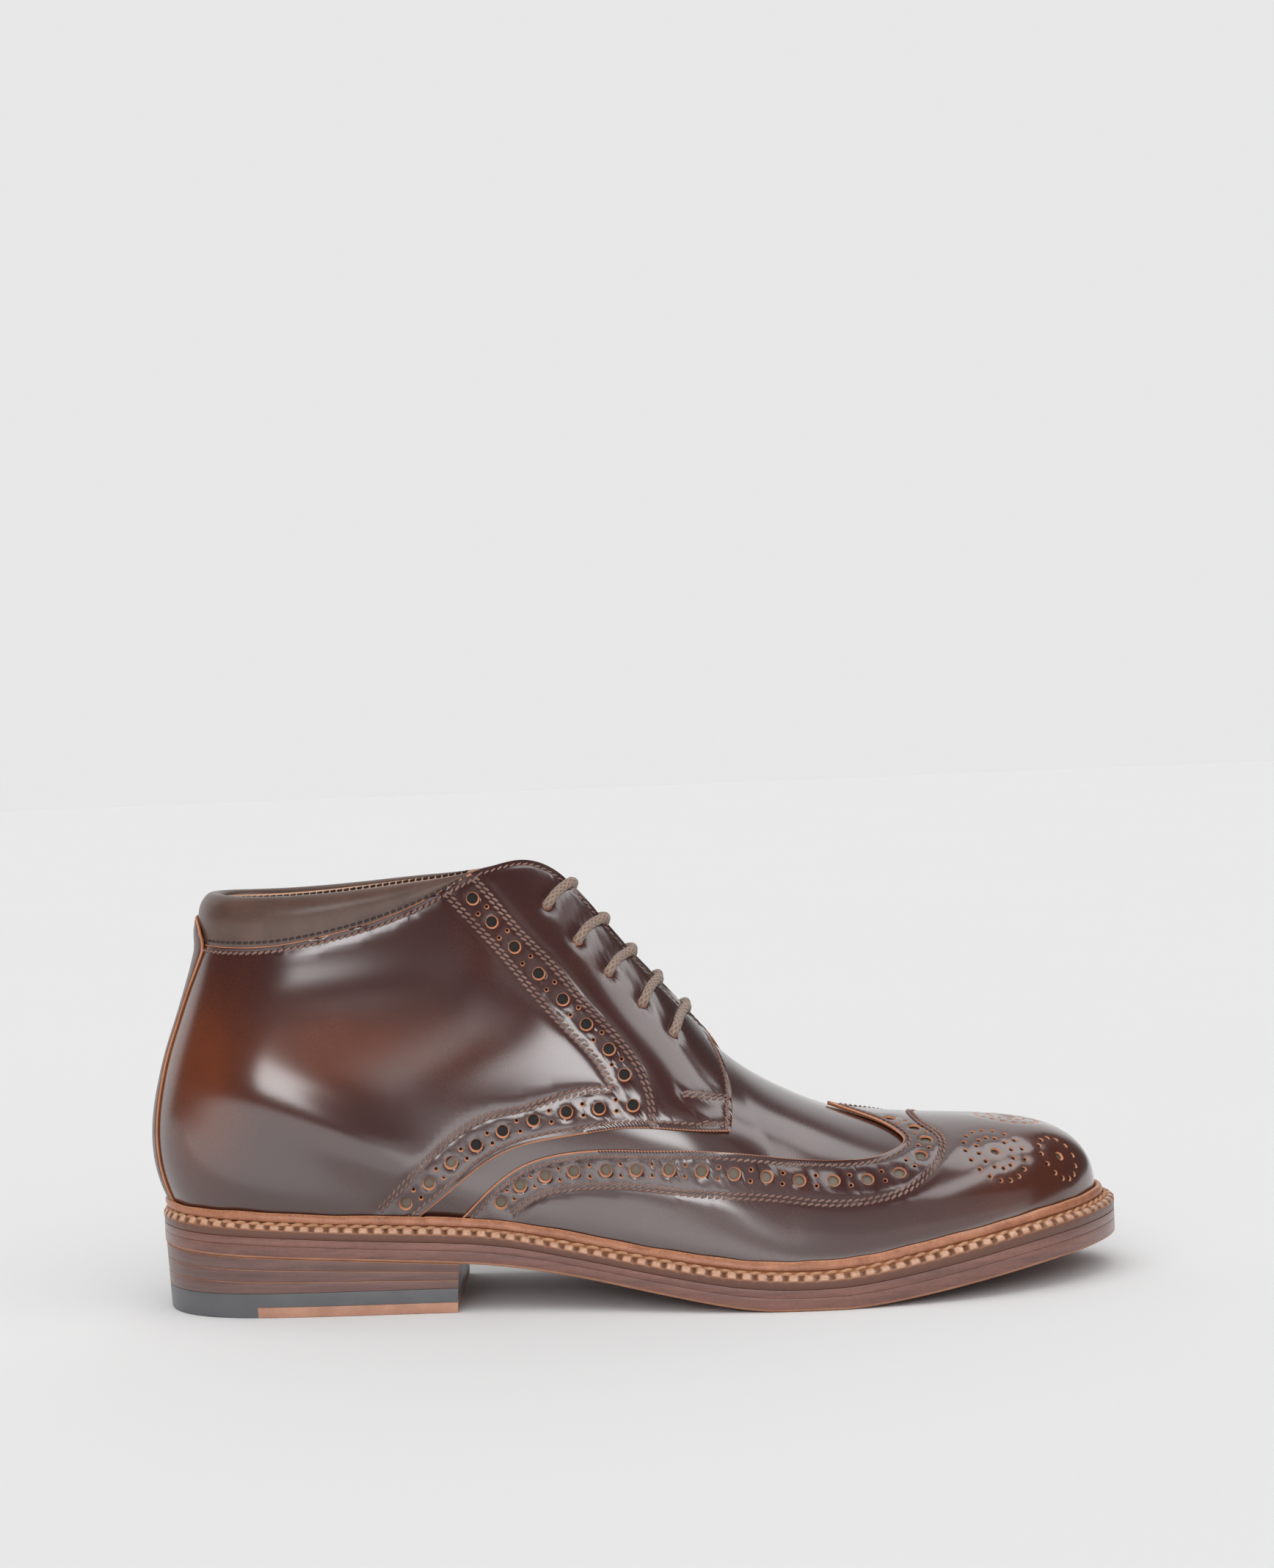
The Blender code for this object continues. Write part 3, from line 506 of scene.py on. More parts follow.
def plan_edge(turn, grow):
    """The feather line seen from above, moved outwards by a distance."""
    step = 0.01
    along = last_surface(turn + step, 0)[..., :2] - last_surface(turn - step, 0)[..., :2]
    outward = unit(stack(along[..., 1], -along[..., 0]))
    return last_surface(turn, 0)[..., :2] + outward * np.asarray(grow)[..., None]


def sole_edge(turn, inset=0.0):
    return plan_edge(turn, around(WELT_LOOP, turn) - inset)


def boot_middle():
    """The middle of the boot's box seen from above: back from the upper, the rest from the sole."""
    sole = sole_edge(np.linspace(0, LOOP_ROWS, 721))
    heel = last_surface(0.0, np.linspace(0, 0.6, 61))[:, 0].min()
    return np.array([(heel + sole[:, 0].max()) / 2, (sole[:, 1].min() + sole[:, 1].max()) / 2, 0.0])


MIDDLE = boot_middle()


def to_model(points):
    return (np.asarray(points) - MIDDLE) * MM


def photo_pixel(points):
    """Where points show in the photograph."""
    right, ahead, up = np.moveaxis(points - CAMERA_AT, -1, 0)
    depth = ahead * math.cos(CAMERA_PITCH) - up * math.sin(CAMERA_PITCH)
    down = -up * math.cos(CAMERA_PITCH) - ahead * math.sin(CAMERA_PITCH)
    a, b = FOCAL_PIXELS * right / depth, FOCAL_PIXELS * down / depth
    c, s = math.cos(CAMERA_ROLL), math.sin(CAMERA_ROLL)
    return stack(a * c + b * s, b * c - a * s) + np.array(PHOTO_SIZE) / 2


# Places are pairs of turn and climb. A fine net over the last finds the place nearest to a pixel or a point.
NET_STEPS = 24
NET_TURNS, NET_CLIMBS = np.meshgrid(
    np.linspace(0, LOOP_ROWS, NET_STEPS * LOOP_ROWS + 1)[:-1], np.linspace(0, 1, 161), indexing="ij"
)
NET = last_surface(NET_TURNS, NET_CLIMBS)


PIXEL_STEP, LONGEST_MOVE = 1e-3, 0.03


def seen(pixels):
    """Places on the outer side that show at pixels of the photograph."""
    pixels = np.asarray(pixels, float)
    outer = slice(0, NET_STEPS * TOE_ROW + 1)
    points = NET[outer]
    shown = photo_pixel(points)
    normal = last_normal(NET_TURNS[outer], NET_CLIMBS[outer])
    hidden = np.einsum("ijk,ijk->ij", normal, CAMERA_AT - points) < 0
    places = []
    for pixel in pixels:
        miss = np.sum((shown - pixel) ** 2, axis=-1) + hidden * 1e9
        place = np.unravel_index(miss.argmin(), miss.shape)
        places.append((NET_TURNS[outer][place], NET_CLIMBS[outer][place]))
    places = np.array(places)
    step = PIXEL_STEP
    for _ in range(3):
        turn, climb = places.T
        here = photo_pixel(last_surface(turn, climb))
        by_turn = (photo_pixel(last_surface(turn + step, climb)) - here).T / step
        by_climb = (photo_pixel(last_surface(turn, climb + step)) - here).T / step
        miss = (pixels - here).T
        size = by_turn[0] * by_climb[1] - by_turn[1] * by_climb[0]
        turned = miss[0] * by_climb[1] - miss[1] * by_climb[0]
        climbed = by_turn[0] * miss[1] - by_turn[1] * miss[0]
        places = places + np.clip(stack(turned, climbed) / size[:, None], -LONGEST_MOVE, LONGEST_MOVE)
        places[:, 1] = np.clip(places[:, 1], 0, 1)
    return places


def fold(places):
    """Places past the crest line, taken over to the other side."""
    over = places[..., 1] > 1
    turn = np.where(over, LOOP_ROWS - places[..., 0], places[..., 0])
    return stack(turn, np.where(over, 2 - places[..., 1], places[..., 1]))


def slide(places, moves):
    """Places moved over the last by short vectors."""
    by_turn, by_climb = tangents(places[..., 0], places[..., 1])
    a, b, c = (np.sum(p * q, -1) for p, q in ((by_turn, by_turn), (by_turn, by_climb), (by_climb, by_climb)))
    p, q = np.sum(moves * by_turn, -1), np.sum(moves * by_climb, -1)
    size = a * c - b * b
    return places + stack((c * p - b * q) / size, (a * q - b * p) / size)


def mirrored(places):
    return stack(LOOP_ROWS - places[..., 0], places[..., 1])


def surface(places):
    return last_surface(places[..., 0], places[..., 1])


def tree_of(points):
    tree = kdtree.KDTree(len(points))
    for i, point in enumerate(points):
        tree.insert(point, i)
    tree.balance()
    return tree


def nearest(points, others):
    """Each point's distance to the nearest of the others."""
    if len(others) == 0:
        return np.full(len(points), 1e3)
    tree = tree_of(others)
    return np.array([tree.find(point)[2] for point in points])


NET_TREE = tree_of(NET.reshape(-1, 3))
NET_PLACES = stack(NET_TURNS, NET_CLIMBS).reshape(-1, 2)


def places_near(points):
    """The places on the last nearest to points in space."""
    places = NET_PLACES[[NET_TREE.find(point)[1] for point in points]]
    return fold(slide(places, points - surface(places)))


# Millimetres to one row and to the whole climb, about.
ROUGH_SIZE = np.array([17.0, 85.0])


def paced(line, step):
    """Places along a dense line, an even step apart."""
    length = lengths(surface(line))
    at = np.linspace(0, length[-1], max(2, round(length[-1] / step) + 1))
    return stack(np.interp(at, length, line[:, 0]), np.interp(at, length, line[:, 1]))


def trace(places, step=1.0):
    """Places along a smooth line through the given ones, about a step apart."""
    places = np.asarray(places, float)
    knots = lengths(places * ROUGH_SIZE)
    fine = spline(knots, places, np.linspace(0, knots[-1], 60 * len(places)))
    fine[:, 1] = np.clip(fine[:, 1], 0, 1)
    return paced(fine, step)


def beside(line, distance):
    """A line moved to its left over the last, seen from outside, as far as it stays on its own side."""
    along = np.gradient(surface(line), axis=0)
    moved = slide(line, distance * unit(np.cross(last_normal(line[:, 0], line[:, 1]), along)))
    return moved[(moved[:, 1] <= 1) & (moved[:, 1] >= 0)]


def crest_place(x):
    """The place on the crest line in front of the throat at x."""
    turns = np.linspace(THROAT_ROW, TOE_ROW, 401)
    return np.array([np.interp(x, crest_line(turns)[:, 0], turns), 1.0])


def spokes(place, count):
    """Steps round a place, in parts along the last and up it."""
    by_turn, by_climb = tangents(place[0], place[1])
    first = unit(by_turn)
    second = np.cross(unit(np.cross(by_turn, by_climb)), first)
    angle = np.linspace(0, 2 * math.pi, count, endpoint=False)[:, None]
    return np.cos(angle) * first, np.sin(angle) * second


def ring(place, radius, count):
    """Places round a centre, as a circle on the last."""
    along, up = spokes(place, count)
    return fold(slide(np.repeat(place[None], count, 0), radius * (along + up)))


def flat_pattern(places):
    """Places laid out flat, as on a cutter's pattern: sections fan out from the crest seen from above."""
    turn, climb = places[..., 0], places[..., 1]
    crest = crest_line(turn)
    length = np.linalg.norm(around(FOOT_LOOP, turn) - crest, axis=-1)
    return crest[..., :2] + unit(around(FAN_LOOP, turn)) * (length * (1 - climb))[..., None]


def inside(points, outline):
    """Which flat points lie inside a closed outline."""
    within = np.zeros(len(points), bool)
    x, y = points.T
    for (x1, y1), (x2, y2) in zip(outline, np.roll(outline, -1, axis=0)):
        if y1 != y2:
            crosses = (y1 > y) != (y2 > y)
            within ^= crosses & (x < (x2 - x1) * (y - y1) / (y2 - y1) + x1)
    return within


def deselect():
    if bpy.context.object and bpy.context.object.mode != "OBJECT":
        bpy.ops.object.mode_set(mode="OBJECT")
    bpy.ops.object.select_all(action="DESELECT")


def active(obj):
    deselect()
    obj.select_set(True)
    bpy.context.view_layer.objects.active = obj


def grid(points):
    """A grid primitive laid over an array of points."""
    rows, columns = points.shape[:2]
    deselect()
    bpy.ops.mesh.primitive_grid_add(x_subdivisions=rows - 1, y_subdivisions=columns - 1, size=1)
    made = bpy.context.object
    flat = np.empty(3 * len(made.data.vertices))
    made.data.vertices.foreach_get("co", flat)
    flat = flat.reshape(-1, 3)
    i = np.rint((flat[:, 0] + 0.5) * (rows - 1)).astype(int)
    j = np.rint((flat[:, 1] + 0.5) * (columns - 1)).astype(int)
    made.data.vertices.foreach_set("co", to_model(points[i, j]).ravel())
    made.data.update()
    return made


def weld(obj, fill=False, recalculate=True):
    """Merges what meets, closes open ends if asked, and turns the faces outwards."""
    active(obj)
    bpy.ops.object.mode_set(mode="EDIT")
    bpy.ops.mesh.select_all(action="SELECT")
    bpy.ops.mesh.remove_doubles(threshold=2e-6)
    bpy.ops.mesh.dissolve_degenerate(threshold=1e-6)
    if fill:
        bpy.ops.mesh.select_all(action="SELECT")
        bpy.ops.mesh.fill_holes(sides=0)
    if recalculate:
        bpy.ops.mesh.select_all(action="SELECT")
        bpy.ops.mesh.normals_make_consistent(inside=False)
    bpy.ops.object.mode_set(mode="OBJECT")
    return obj


def apply(obj, kind, **settings):
    active(obj)
    modifier = obj.modifiers.new(kind.lower(), kind)
    for name, value in settings.items():
        setattr(modifier, name, value)
    bpy.ops.object.modifier_apply(modifier=modifier.name)
    return obj


def mesh_object(name, points, faces):
    """A new object with a mesh of the given points, in millimetres, and faces."""
    mesh = bpy.data.meshes.new(name)
    mesh.from_pydata(to_model(points).tolist(), [], faces)
    made = bpy.data.objects.new(name, mesh)
    bpy.context.scene.collection.objects.link(made)
    return made


def join(first, *others):
    active(first)
    for other in others:
        other.select_set(True)
    bpy.ops.object.join()
    return first


def wrapped(points, axis):
    """The same points with the first repeated at the end, so that the grid closes."""
    return np.concatenate([points, np.take(points, [0], axis=axis)], axis=axis)


def finished(obj, name, materials, replaces=(), angle=40):
    """Names a piece, shades it and ties it to the frame."""
    active(obj)
    bpy.ops.object.shade_smooth_by_angle(angle=math.radians(angle))
    obj.name = obj.data.name = name
    while len(obj.data.materials) < len(materials):
        obj.data.materials.append(None)
    for number, finish in enumerate(materials):
        obj.data.materials[number] = finish
    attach(obj, "root")
    if replaces:
        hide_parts(*replaces)
    return obj


class Wire:
    """A socket of a material's nodes; arithmetic on it adds Math nodes."""

    def __init__(self, tree, socket=None):
        self.tree, self.socket = tree, socket

    def node(self, kind, settings=None, sockets=None, output=0):
        """A new node: its settings come first, then the values or links of its sockets."""
        made = self.tree.nodes.new("ShaderNode" + kind)
        for name, value in (settings or {}).items():
            setattr(made, name, value)
        for name, value in (sockets or {}).items():
            if isinstance(value, Wire):
                self.tree.links.new(value.socket, made.inputs[name])
            else:
                made.inputs[name].default_value = value
        return Wire(self.tree, made.outputs[output])

    def beside(self, output):
        """Another output of the same node."""
        return Wire(self.tree, self.socket.node.outputs[output])

    def coords(self):
        return self.node("TexCoord", output=3)

    def math(self, operation, first, second=0.0, third=0.0):
        return self.node("Math", {"operation": operation}, {0: first, 1: second, 2: third})

    def __add__(self, other):
        return self.math("ADD", self, other)

    def __sub__(self, other):
        return self.math("SUBTRACT", self, other)

    def __rsub__(self, other):
        return self.math("SUBTRACT", other, self)

    def __mul__(self, other):
        return self.math("MULTIPLY", self, other)

    def __rtruediv__(self, other):
        return self.math("DIVIDE", other, self)

    __radd__, __rmul__ = __add__, __mul__

    def clamped(self):
        return self.math("MINIMUM", self.math("MAXIMUM", self, 0.0), 1.0)

    def between(self, low, high):
        """0 below low, 1 above high and a smooth way between."""
        sockets = {"Value": self, "From Min": low, "From Max": high}
        return self.node("MapRange", {"interpolation_type": "SMOOTHSTEP"}, sockets)

    def colour(self, first, second):
        """A colour between two, by this share of the second."""
        colours = [c if isinstance(c, Wire) else (*c, 1.0) for c in (first, second)]
        return self.node("Mix", {"data_type": "RGBA"}, {0: self, 6: colours[0], 7: colours[1]}, 2)

    def noise(self, coords, scale, detail=2.0, roughness=0.5):
        sockets = {"Vector": coords, "Scale": scale, "Detail": detail, "Roughness": roughness}
        return self.node("TexNoise", {}, sockets)

    def bump(self, height, depth, strength=1.0):
        return self.node("Bump", {}, {"Height": height, "Distance": depth * MM, "Strength": strength})


def material(name):
    """A material with its shader tree empty but for the output, and a wire to start from."""
    made = bpy.data.materials.new(name)
    made.use_nodes = True
    made.node_tree.nodes.clear()
    return made, Wire(made.node_tree)


def surfaced(made, wire, sockets):
    shader = wire.node("BsdfPrincipled", {}, sockets)
    output = made.node_tree.nodes.new("ShaderNodeOutputMaterial")
    made.node_tree.links.new(shader.socket, output.inputs["Surface"])
    return made


def polished_leather(name, dark, warm, glow, roughness=0.26, coat=1.0, grain=0.008):
    """Smooth dyed leather, darker in its depths and warmer where it was burnished.

    glow lists soft patches of warmth, each with its middle and reach along x and z in millimetres and its
    share.
    """
    made, wire = material(name)
    coords = wire.coords()
    place = wire.node("SeparateXYZ", {}, {0: coords})
    x, z = place, place.beside(2)
    cloud = wire.noise(coords, 34.0, 4.0, 0.55)
    streak = wire.noise(coords, 120.0, 3.0, 0.6)
    warmth = (cloud - 0.5) * 0.5
    for middle_x, middle_z, reach_x, reach_z, share in glow:
        middle = to_model((middle_x, 0, middle_z))
        across = (x - middle[0]) * (1 / (reach_x * MM))
        up = (z - middle[2]) * (1 / (reach_z * MM))
        away = across * across + up * up
        warmth = warmth + share / (1 + away * away)
    warmth = (warmth + (streak - 0.5) * 0.14).clamped()
    fine = wire.noise(coords, 2600.0, 3.0, 0.6)
    pores = wire.noise(coords, 900.0, 2.0, 0.5)
    sockets = {
        "Base Color": warmth.colour(dark, warm),
        "Roughness": ((cloud - 0.5) * 0.12 + (fine - 0.5) * 0.08 + roughness).clamped(),
        "Normal": wire.bump(fine * 0.5 + pores * 0.5, grain),
        "Coat Weight": coat,
        "Coat Roughness": 0.17,
        "Coat IOR": 1.82,
        "Specular IOR Level": 0.25,
    }
    return surfaced(made, wire, sockets)


def plain_leather(
    name, low, high, roughness, grain=0.08, scale=700.0, coat=0.0, stretch=(1.0, 1.0, 1.0), lines=0.0
):
    """Undyed or worked leather with a soft change of tone; stretch draws it out into layers and lines."""
    made, wire = material(name)
    coords = wire.coords()
    drawn = wire.node("Mapping", {}, {"Vector": coords, "Scale": stretch})
    tone = wire.noise(drawn, 90.0, 4.0, 0.6)
    fine = wire.noise(coords, scale, 3.0, 0.6)
    mix = (tone - 0.5) * 1.6 + (fine - 0.5) * 0.5 + 0.5
    if lines:
        mix = mix + (wire.noise(drawn, 420.0, 3.0, 0.6) - 0.5) * lines
    sockets = {
        "Base Color": mix.clamped().colour(low, high),
        "Roughness": ((fine - 0.5) * 0.2 + roughness).clamped(),
        "Normal": wire.bump(fine, grain),
        "Coat Weight": coat,
        "Coat Roughness": 0.25,
    }
    return surfaced(made, wire, sockets)


def braided(name, low, high):
    """A round braid: two families of strands that pass over and under each other, on the lace's UV map."""
    made, wire = material(name)
    along, across = along_and_across(wire, LACE_BRAID_TURNS, LACE_STRANDS)
    left = wire.math("SINE", (along + across) * (2 * math.pi))
    right = wire.math("SINE", (along - across) * (2 * math.pi))
    height = wire.math("MAXIMUM", left, right)
    fuzz = wire.noise(wire.coords(), 2400.0, 2.0, 0.6)
    # The strands' lower parts are painted darker: painted shade where they pass under each other.
    mix = (height * 0.35 + fuzz * 0.5 + 0.15).clamped()
    sockets = {
        "Base Color": mix.colour(low, high),
        "Roughness": 0.75,
        "Normal": wire.bump(height * 0.8 + fuzz * 0.4, 0.18),
        "Sheen Weight": 0.25,
    }
    return surfaced(made, wire, sockets)


def along_and_across(wire, columns, rows):
    """The places of a grid's own UV map, counted along it in columns and across it in rows."""
    place = wire.node("SeparateXYZ", {}, {0: wire.node("UVMap", {"uv_map": "UVMap"})})
    return place * columns, place.beside(1) * rows


def beaded(name, stitches, rows, wall, gap_shade, pale, inner):
    """The flange: its wall stained like the sole, waxed beads along its edge with painted shade in the gaps
    between them, and bare leather inside them, its brown partly painted shade of the crease by the lip.
    """
    made, wire = material(name)
    along, across = along_and_across(wire, stitches, rows)
    fine = wire.noise(wire.coords(), 1100.0, 3.0, 0.6)
    # Between the beads the colour goes dark: painted shade in the gaps.
    bead = wire.math("COSINE", along * (2 * math.pi)) * 0.5 + 0.5
    bead_wax_and_gap_shade = (bead.between(0.1, 0.75) * 0.8 + (fine - 0.5) * 1.2).clamped()
    ridge = across.between(4.0, 4.9) * (1 - across.between(7.6, 9.0))
    low = 1 - across.between(3.6, 4.3)
    colour = ridge.colour(inner, bead_wax_and_gap_shade.colour(gap_shade, pale))
    stain = ((fine - 0.5) * 0.9 + 0.5).clamped().colour(wall, tuple(1.4 * c for c in wall))
    sockets = {
        "Base Color": low.colour(colour, stain),
        "Roughness": ((fine - 0.5) * 0.3 + 0.4).clamped(),
        "Normal": wire.bump(fine, 0.1),
        "Coat Weight": 0.3,
        "Coat Roughness": 0.2,
    }
    return surfaced(made, wire, sockets)


def lipped(name, rows, foot_shade, low, high, bare):
    """The lip: rubbed brown sides, a rough bare top edge and a dark foot, which is painted shade in the
    crease where it meets the flange.
    """
    made, wire = material(name)
    _, across = along_and_across(wire, 1.0, rows)
    coords = wire.coords()
    tone = wire.noise(coords, 160.0, 4.0, 0.65)
    fine = wire.noise(coords, 1300.0, 3.0, 0.6)
    body = ((tone - 0.5) * 2.0 + (fine - 0.5) * 0.8 + 0.5).clamped().colour(low, high)
    edge = across + (fine - 0.5) * 2.4
    # The foot's dark colour is painted shade in the crease down at the flange.
    foot = 1 - across.between(0.2, 1.1)
    top = edge.between(3.6, 4.6) * (1 - across.between(6.0, 7.0))
    sockets = {
        "Base Color": foot.colour(top.colour(body, bare), foot_shade),
        "Roughness": (top * 0.3 + (fine - 0.5) * 0.2 + 0.38).clamped(),
        "Normal": wire.bump(fine + tone * 0.6, 0.16),
        "Coat Weight": 0.25,
        "Coat Roughness": 0.2,
    }
    return surfaced(made, wire, sockets)


def loop_edges(start, count):
    return [(start + i, start + (i + 1) % count) for i in range(count)]


# Soft swells and hollows of the quarters, drawn out along a slope: middle x and z, half length, half width,
# slope in degrees, height.
SWELLS = table(
    "x z length width slope height",
    (55.0, 102.0, 40.0, 7.0, 4.0, 0.4),
    (62.0, 56.2, 42.0, 9.5, -25.0, 2.2),
    (108.0, 108.0, 26.0, 9.0, 60.0, 0.3),
    (106.0, 80.0, 30.0, 11.0, 22.0, -0.8),
    (180.0, 52.0, 45.0, 12.0, -3.0, 2.0),
)


def swell(points):
    rise = np.zeros(len(points))
    for x, z, length, width, slope, height in rows_of(SWELLS):
        c, s = math.cos(math.radians(slope)), math.sin(math.radians(slope))
        dx, dz = points[:, 0] - x, points[:, 2] - z
        rise += height * np.exp(-(((dx * c + dz * s) / length) ** 2) - ((dz * c - dx * s) / width) ** 2)
    return rise


def soft_dip(distance, width):
    return np.exp(-((distance / width) ** 2))


def level_at(height, points):
    """A height that is a number, or a function of where it is."""
    return height(points) if callable(height) else np.full(len(points), height)


def panel(outline, top, holes=(), rows=(), dents=(), raw=(), folded=(), thick=LEATHER, step=1.7):
    """A piece of leather cut to an outline on the last, punched and pressed in along its stitches.

    The outline and both edges of each hole's bevel are kept as edges of the flat pattern's triangles, which
    no primitive gives. The bevels and the raw edges are the second material; raw lists the lines just inside
    the edges that were cut at a slant, folded the points of edges that show the leather's own face.
    """
    places, edges, tags = [], [], []

    def add(loop, tag, closed=True):
        start = sum(len(p) for p in places)
        if closed:
            edges.extend(loop_edges(start, len(loop)))
        places.append(loop)
        tags.append(np.full(len(loop), tag))

    add(outline, -1)
    holes = clear_holes(holes, outline)
    for number, (centre, radius) in enumerate(holes):
        count = FEW_SIDES if radius < WIDE_HOLE else MANY_SIDES
        add(ring(lean_up(centre, radius), radius - hole_bevel(radius), count), 2 * number)
        add(ring(centre, radius, count), 2 * number + 1)
    flat_outline = flat_pattern(outline)
    middles = np.array([surface(centre) for centre, _ in holes]).reshape(-1, 3)
    radii = np.array([radius for _, radius in holes])
    middle_tree = tree_of(middles)

    def add_free(loop, clearance, tag=-1):
        """Adds the points of a loop that lie inside, clear of the holes and of the points already there."""
        points = surface(loop)
        free = inside(flat_pattern(loop), flat_outline)
        free &= nearest(points, surface(np.concatenate(places))) > clearance
        if len(holes):
            found = [middle_tree.find(point) for point in points]
            free &= np.array([distance > radii[index] + 0.3 for _, index, distance in found])
        add(loop[free], tag, closed=False)

    if raw:
        slanted = np.concatenate(raw)
        add_free(slanted, 0.2, RAW_INSIDE)
        tags[0][nearest(surface(outline), surface(slanted)) < 1.6 * RAW_WIDTH] = RAW_EDGE
    collars = [ring(centre, radius + HOLE_RIM, MANY_SIDES) for centre, radius in holes if radius > WIDE_HOLE]
    if collars:
        add_free(np.concatenate(collars), 0.3)
    if rows:
        add_free(np.concatenate(rows), 0.35)
        for distance in (BESIDE_ROW, -BESIDE_ROW):
            add_free(np.concatenate([beside(line, distance) for line in rows]), 0.4)
    turns = np.arange(0, LOOP_ROWS, step / ROUGH_SIZE[0])
    climbs = np.arange(0.5 * step, ROUGH_SIZE[1], step) / ROUGH_SIZE[1]
    add_free(stack(turns[:, None], climbs[None, :]).reshape(-1, 2), 0.42 * step)

    places, tags = np.concatenate(places), np.concatenate(tags)
    flat = [Vector(point) for point in flat_pattern(places)]
    _, _, faces, sources, _, _ = delaunay_2d_cdt(flat, edges, [], 1, 1e-7)
    kept = np.array([source[0] for source in sources])
    places, tags = places[kept], tags[kept]
    points = surface(places)
    height = level_at(top, points) + swell(points)
    height -= EDGE_DIP * soft_dip(nearest(points, surface(outline)), EDGE_REACH)
    height -= np.where(tags == RAW_EDGE, RAW_DROP, 0.0)
    if rows:
        height -= STITCH_DIP * soft_dip(nearest(points, surface(np.concatenate(rows))), STITCH_REACH)
    if len(dents):
        height -= LACE_DIP * soft_dip(nearest(points, dents), LACE_REACH)
    if len(holes):
        found = [middle_tree.find(point) for point in points]
        past = np.array([max(distance - radii[index], 0.0) for _, index, distance in found])
        own = np.array([radii[index] for _, index, _ in found])
        height -= HOLE_DIP * np.minimum(own / 1.6, 1.0) * soft_dip(past, HOLE_REACH)
        height -= np.where((tags >= 0) & (tags % 2 == 0), 1.6 * hole_bevel(own), 0.0)
    solid = off_last(places[:, 0], places[:, 1], height)
    shown, finish = [], []
    for face in faces:
        marks = tags[list(face)]
        beveled = marks.min() >= 0 and (marks // 2).min() == (marks // 2).max()
        if beveled and (marks % 2 == 0).all():
            continue
        shown.append(face)
        finish.append(1 if beveled or marks.max() <= RAW_EDGE else 0)
    made = mesh_object("panel", solid, shown)
    made.data.polygons.foreach_set("material_index", finish)
    for _ in range(2):
        made.data.materials.append(None)
    weld(made, recalculate=False)
    apply(made, "SOLIDIFY", thickness=thick * MM, offset=-1, use_even_offset=False, material_offset_rim=1)
    if len(folded):
        edge = tree_of(to_model(folded))
        for face in made.data.polygons:
            if face.material_index and edge.find(face.center)[2] < FOLD_REACH * MM:
                face.material_index = 0
    return made


def clear_holes(holes, outline):
    """The holes that keep clear of the outline and of the holes before them, on the last and on the flat."""
    edge, clear = tree_of(surface(outline)), []
    middles = surface(np.array([centre for centre, _ in holes]).reshape(-1, 2))
    laid = flat_pattern(np.array([centre for centre, _ in holes]).reshape(-1, 2))
    radii = np.array([radius for _, radius in holes])
    for i, radius in enumerate(radii):
        reach = radii[clear] + radius
        free = edge.find(middles[i])[2] > radius + HOLE_TO_EDGE
        free &= (np.linalg.norm(middles[clear] - middles[i], axis=1) > reach + HOLE_TO_HOLE).all()
        free &= (np.linalg.norm(laid[clear] - laid[i], axis=1) > HOLE_FLAT * reach).all()
        if free:
            clear.append(i)
    return [holes[i] for i in clear]


def lean_up(place, radius):
    """A hole's inner edge lies a little higher than its outer one."""
    return slide(place, HOLE_LEAN * hole_bevel(radius) * unit(tangents(place[0], place[1])[1]))


def hole_bevel(radius):
    return np.where(np.asarray(radius) > WIDE_HOLE, *HOLE_BEVELS)


def thread(starts, ends, normals, radius, slant):
    """Sewn stitches between pairs of points: each dives at its ends and leans a little to one side."""
    sides = STITCH_SIDES
    share = STITCH.share[:, None]
    lift = STITCH.lift[:, None] * radius
    lean = STITCH.lean[:, None] * slant
    width = STITCH.width[:, None, None] * radius
    along = ends - starts
    side = unit(np.cross(normals, along))
    middle = starts[:, None] + along[:, None] * share + normals[:, None] * lift + side[:, None] * lean
    angle = np.linspace(0, 2 * math.pi, sides, endpoint=False)[:, None]
    circle = np.cos(angle) * side[:, None] + np.sin(angle) * normals[:, None]
    points = middle[:, :, None] + width * circle[:, None]
    count, rings = points.shape[:2]
    first = np.arange(count) * rings * sides
    faces = []
    for r in range(rings - 1):
        for k in range(sides):
            corner = [r * sides + k, r * sides + (k + 1) % sides]
            corner += [corner[1] + sides, corner[0] + sides]
            faces.append(first[:, None] + np.array(corner))
    caps = [first[:, None] + np.arange(sides)[::-1], first[:, None] + (rings - 1) * sides + np.arange(sides)]
    listed = np.concatenate(faces).tolist() + np.concatenate(caps).tolist()
    return mesh_object("thread", points.reshape(-1, 3), listed)


def sewn(rows, height, radius=STITCH_RADIUS, pitch=STITCH_PITCH):
    """Stitches along lines on the last."""
    starts, ends, normals = [], [], []
    for line in rows:
        at = paced(line, pitch)
        laid = surface(at)
        points = off_last(at[:, 0], at[:, 1], level_at(height, laid) + swell(laid))
        starts.append(points[:-1])
        ends.append(points[1:])
        normals.append(last_normal(at[:-1, 0], at[:-1, 1]))
    return thread(np.concatenate(starts), np.concatenate(ends), np.concatenate(normals), radius, STITCH_SLANT)


def to_feather(places):
    """A line's places with its first end carried on down to the feather line."""
    first, second = places[:2]
    down = first + (first - second) * first[1] / (second[1] - first[1])
    return np.concatenate([[down], places])


def run_at(climb, turn_from, turn_to):
    """Places at one climb, from one turn to another."""
    turns = np.linspace(turn_from, turn_to, max(2, round(abs(turn_to - turn_from) * 12)))
    return stack(turns, climb)


def chain(*lines):
    """Lines joined end to end, each next one's first place left out."""
    return np.concatenate([lines[0]] + [line[1:] for line in lines[1:]])


def both(lines):
    return list(lines) + [mirrored(line) for line in lines]


def doubled(line):
    return [beside(line, DOUBLE_ROW), beside(line, -DOUBLE_ROW)]


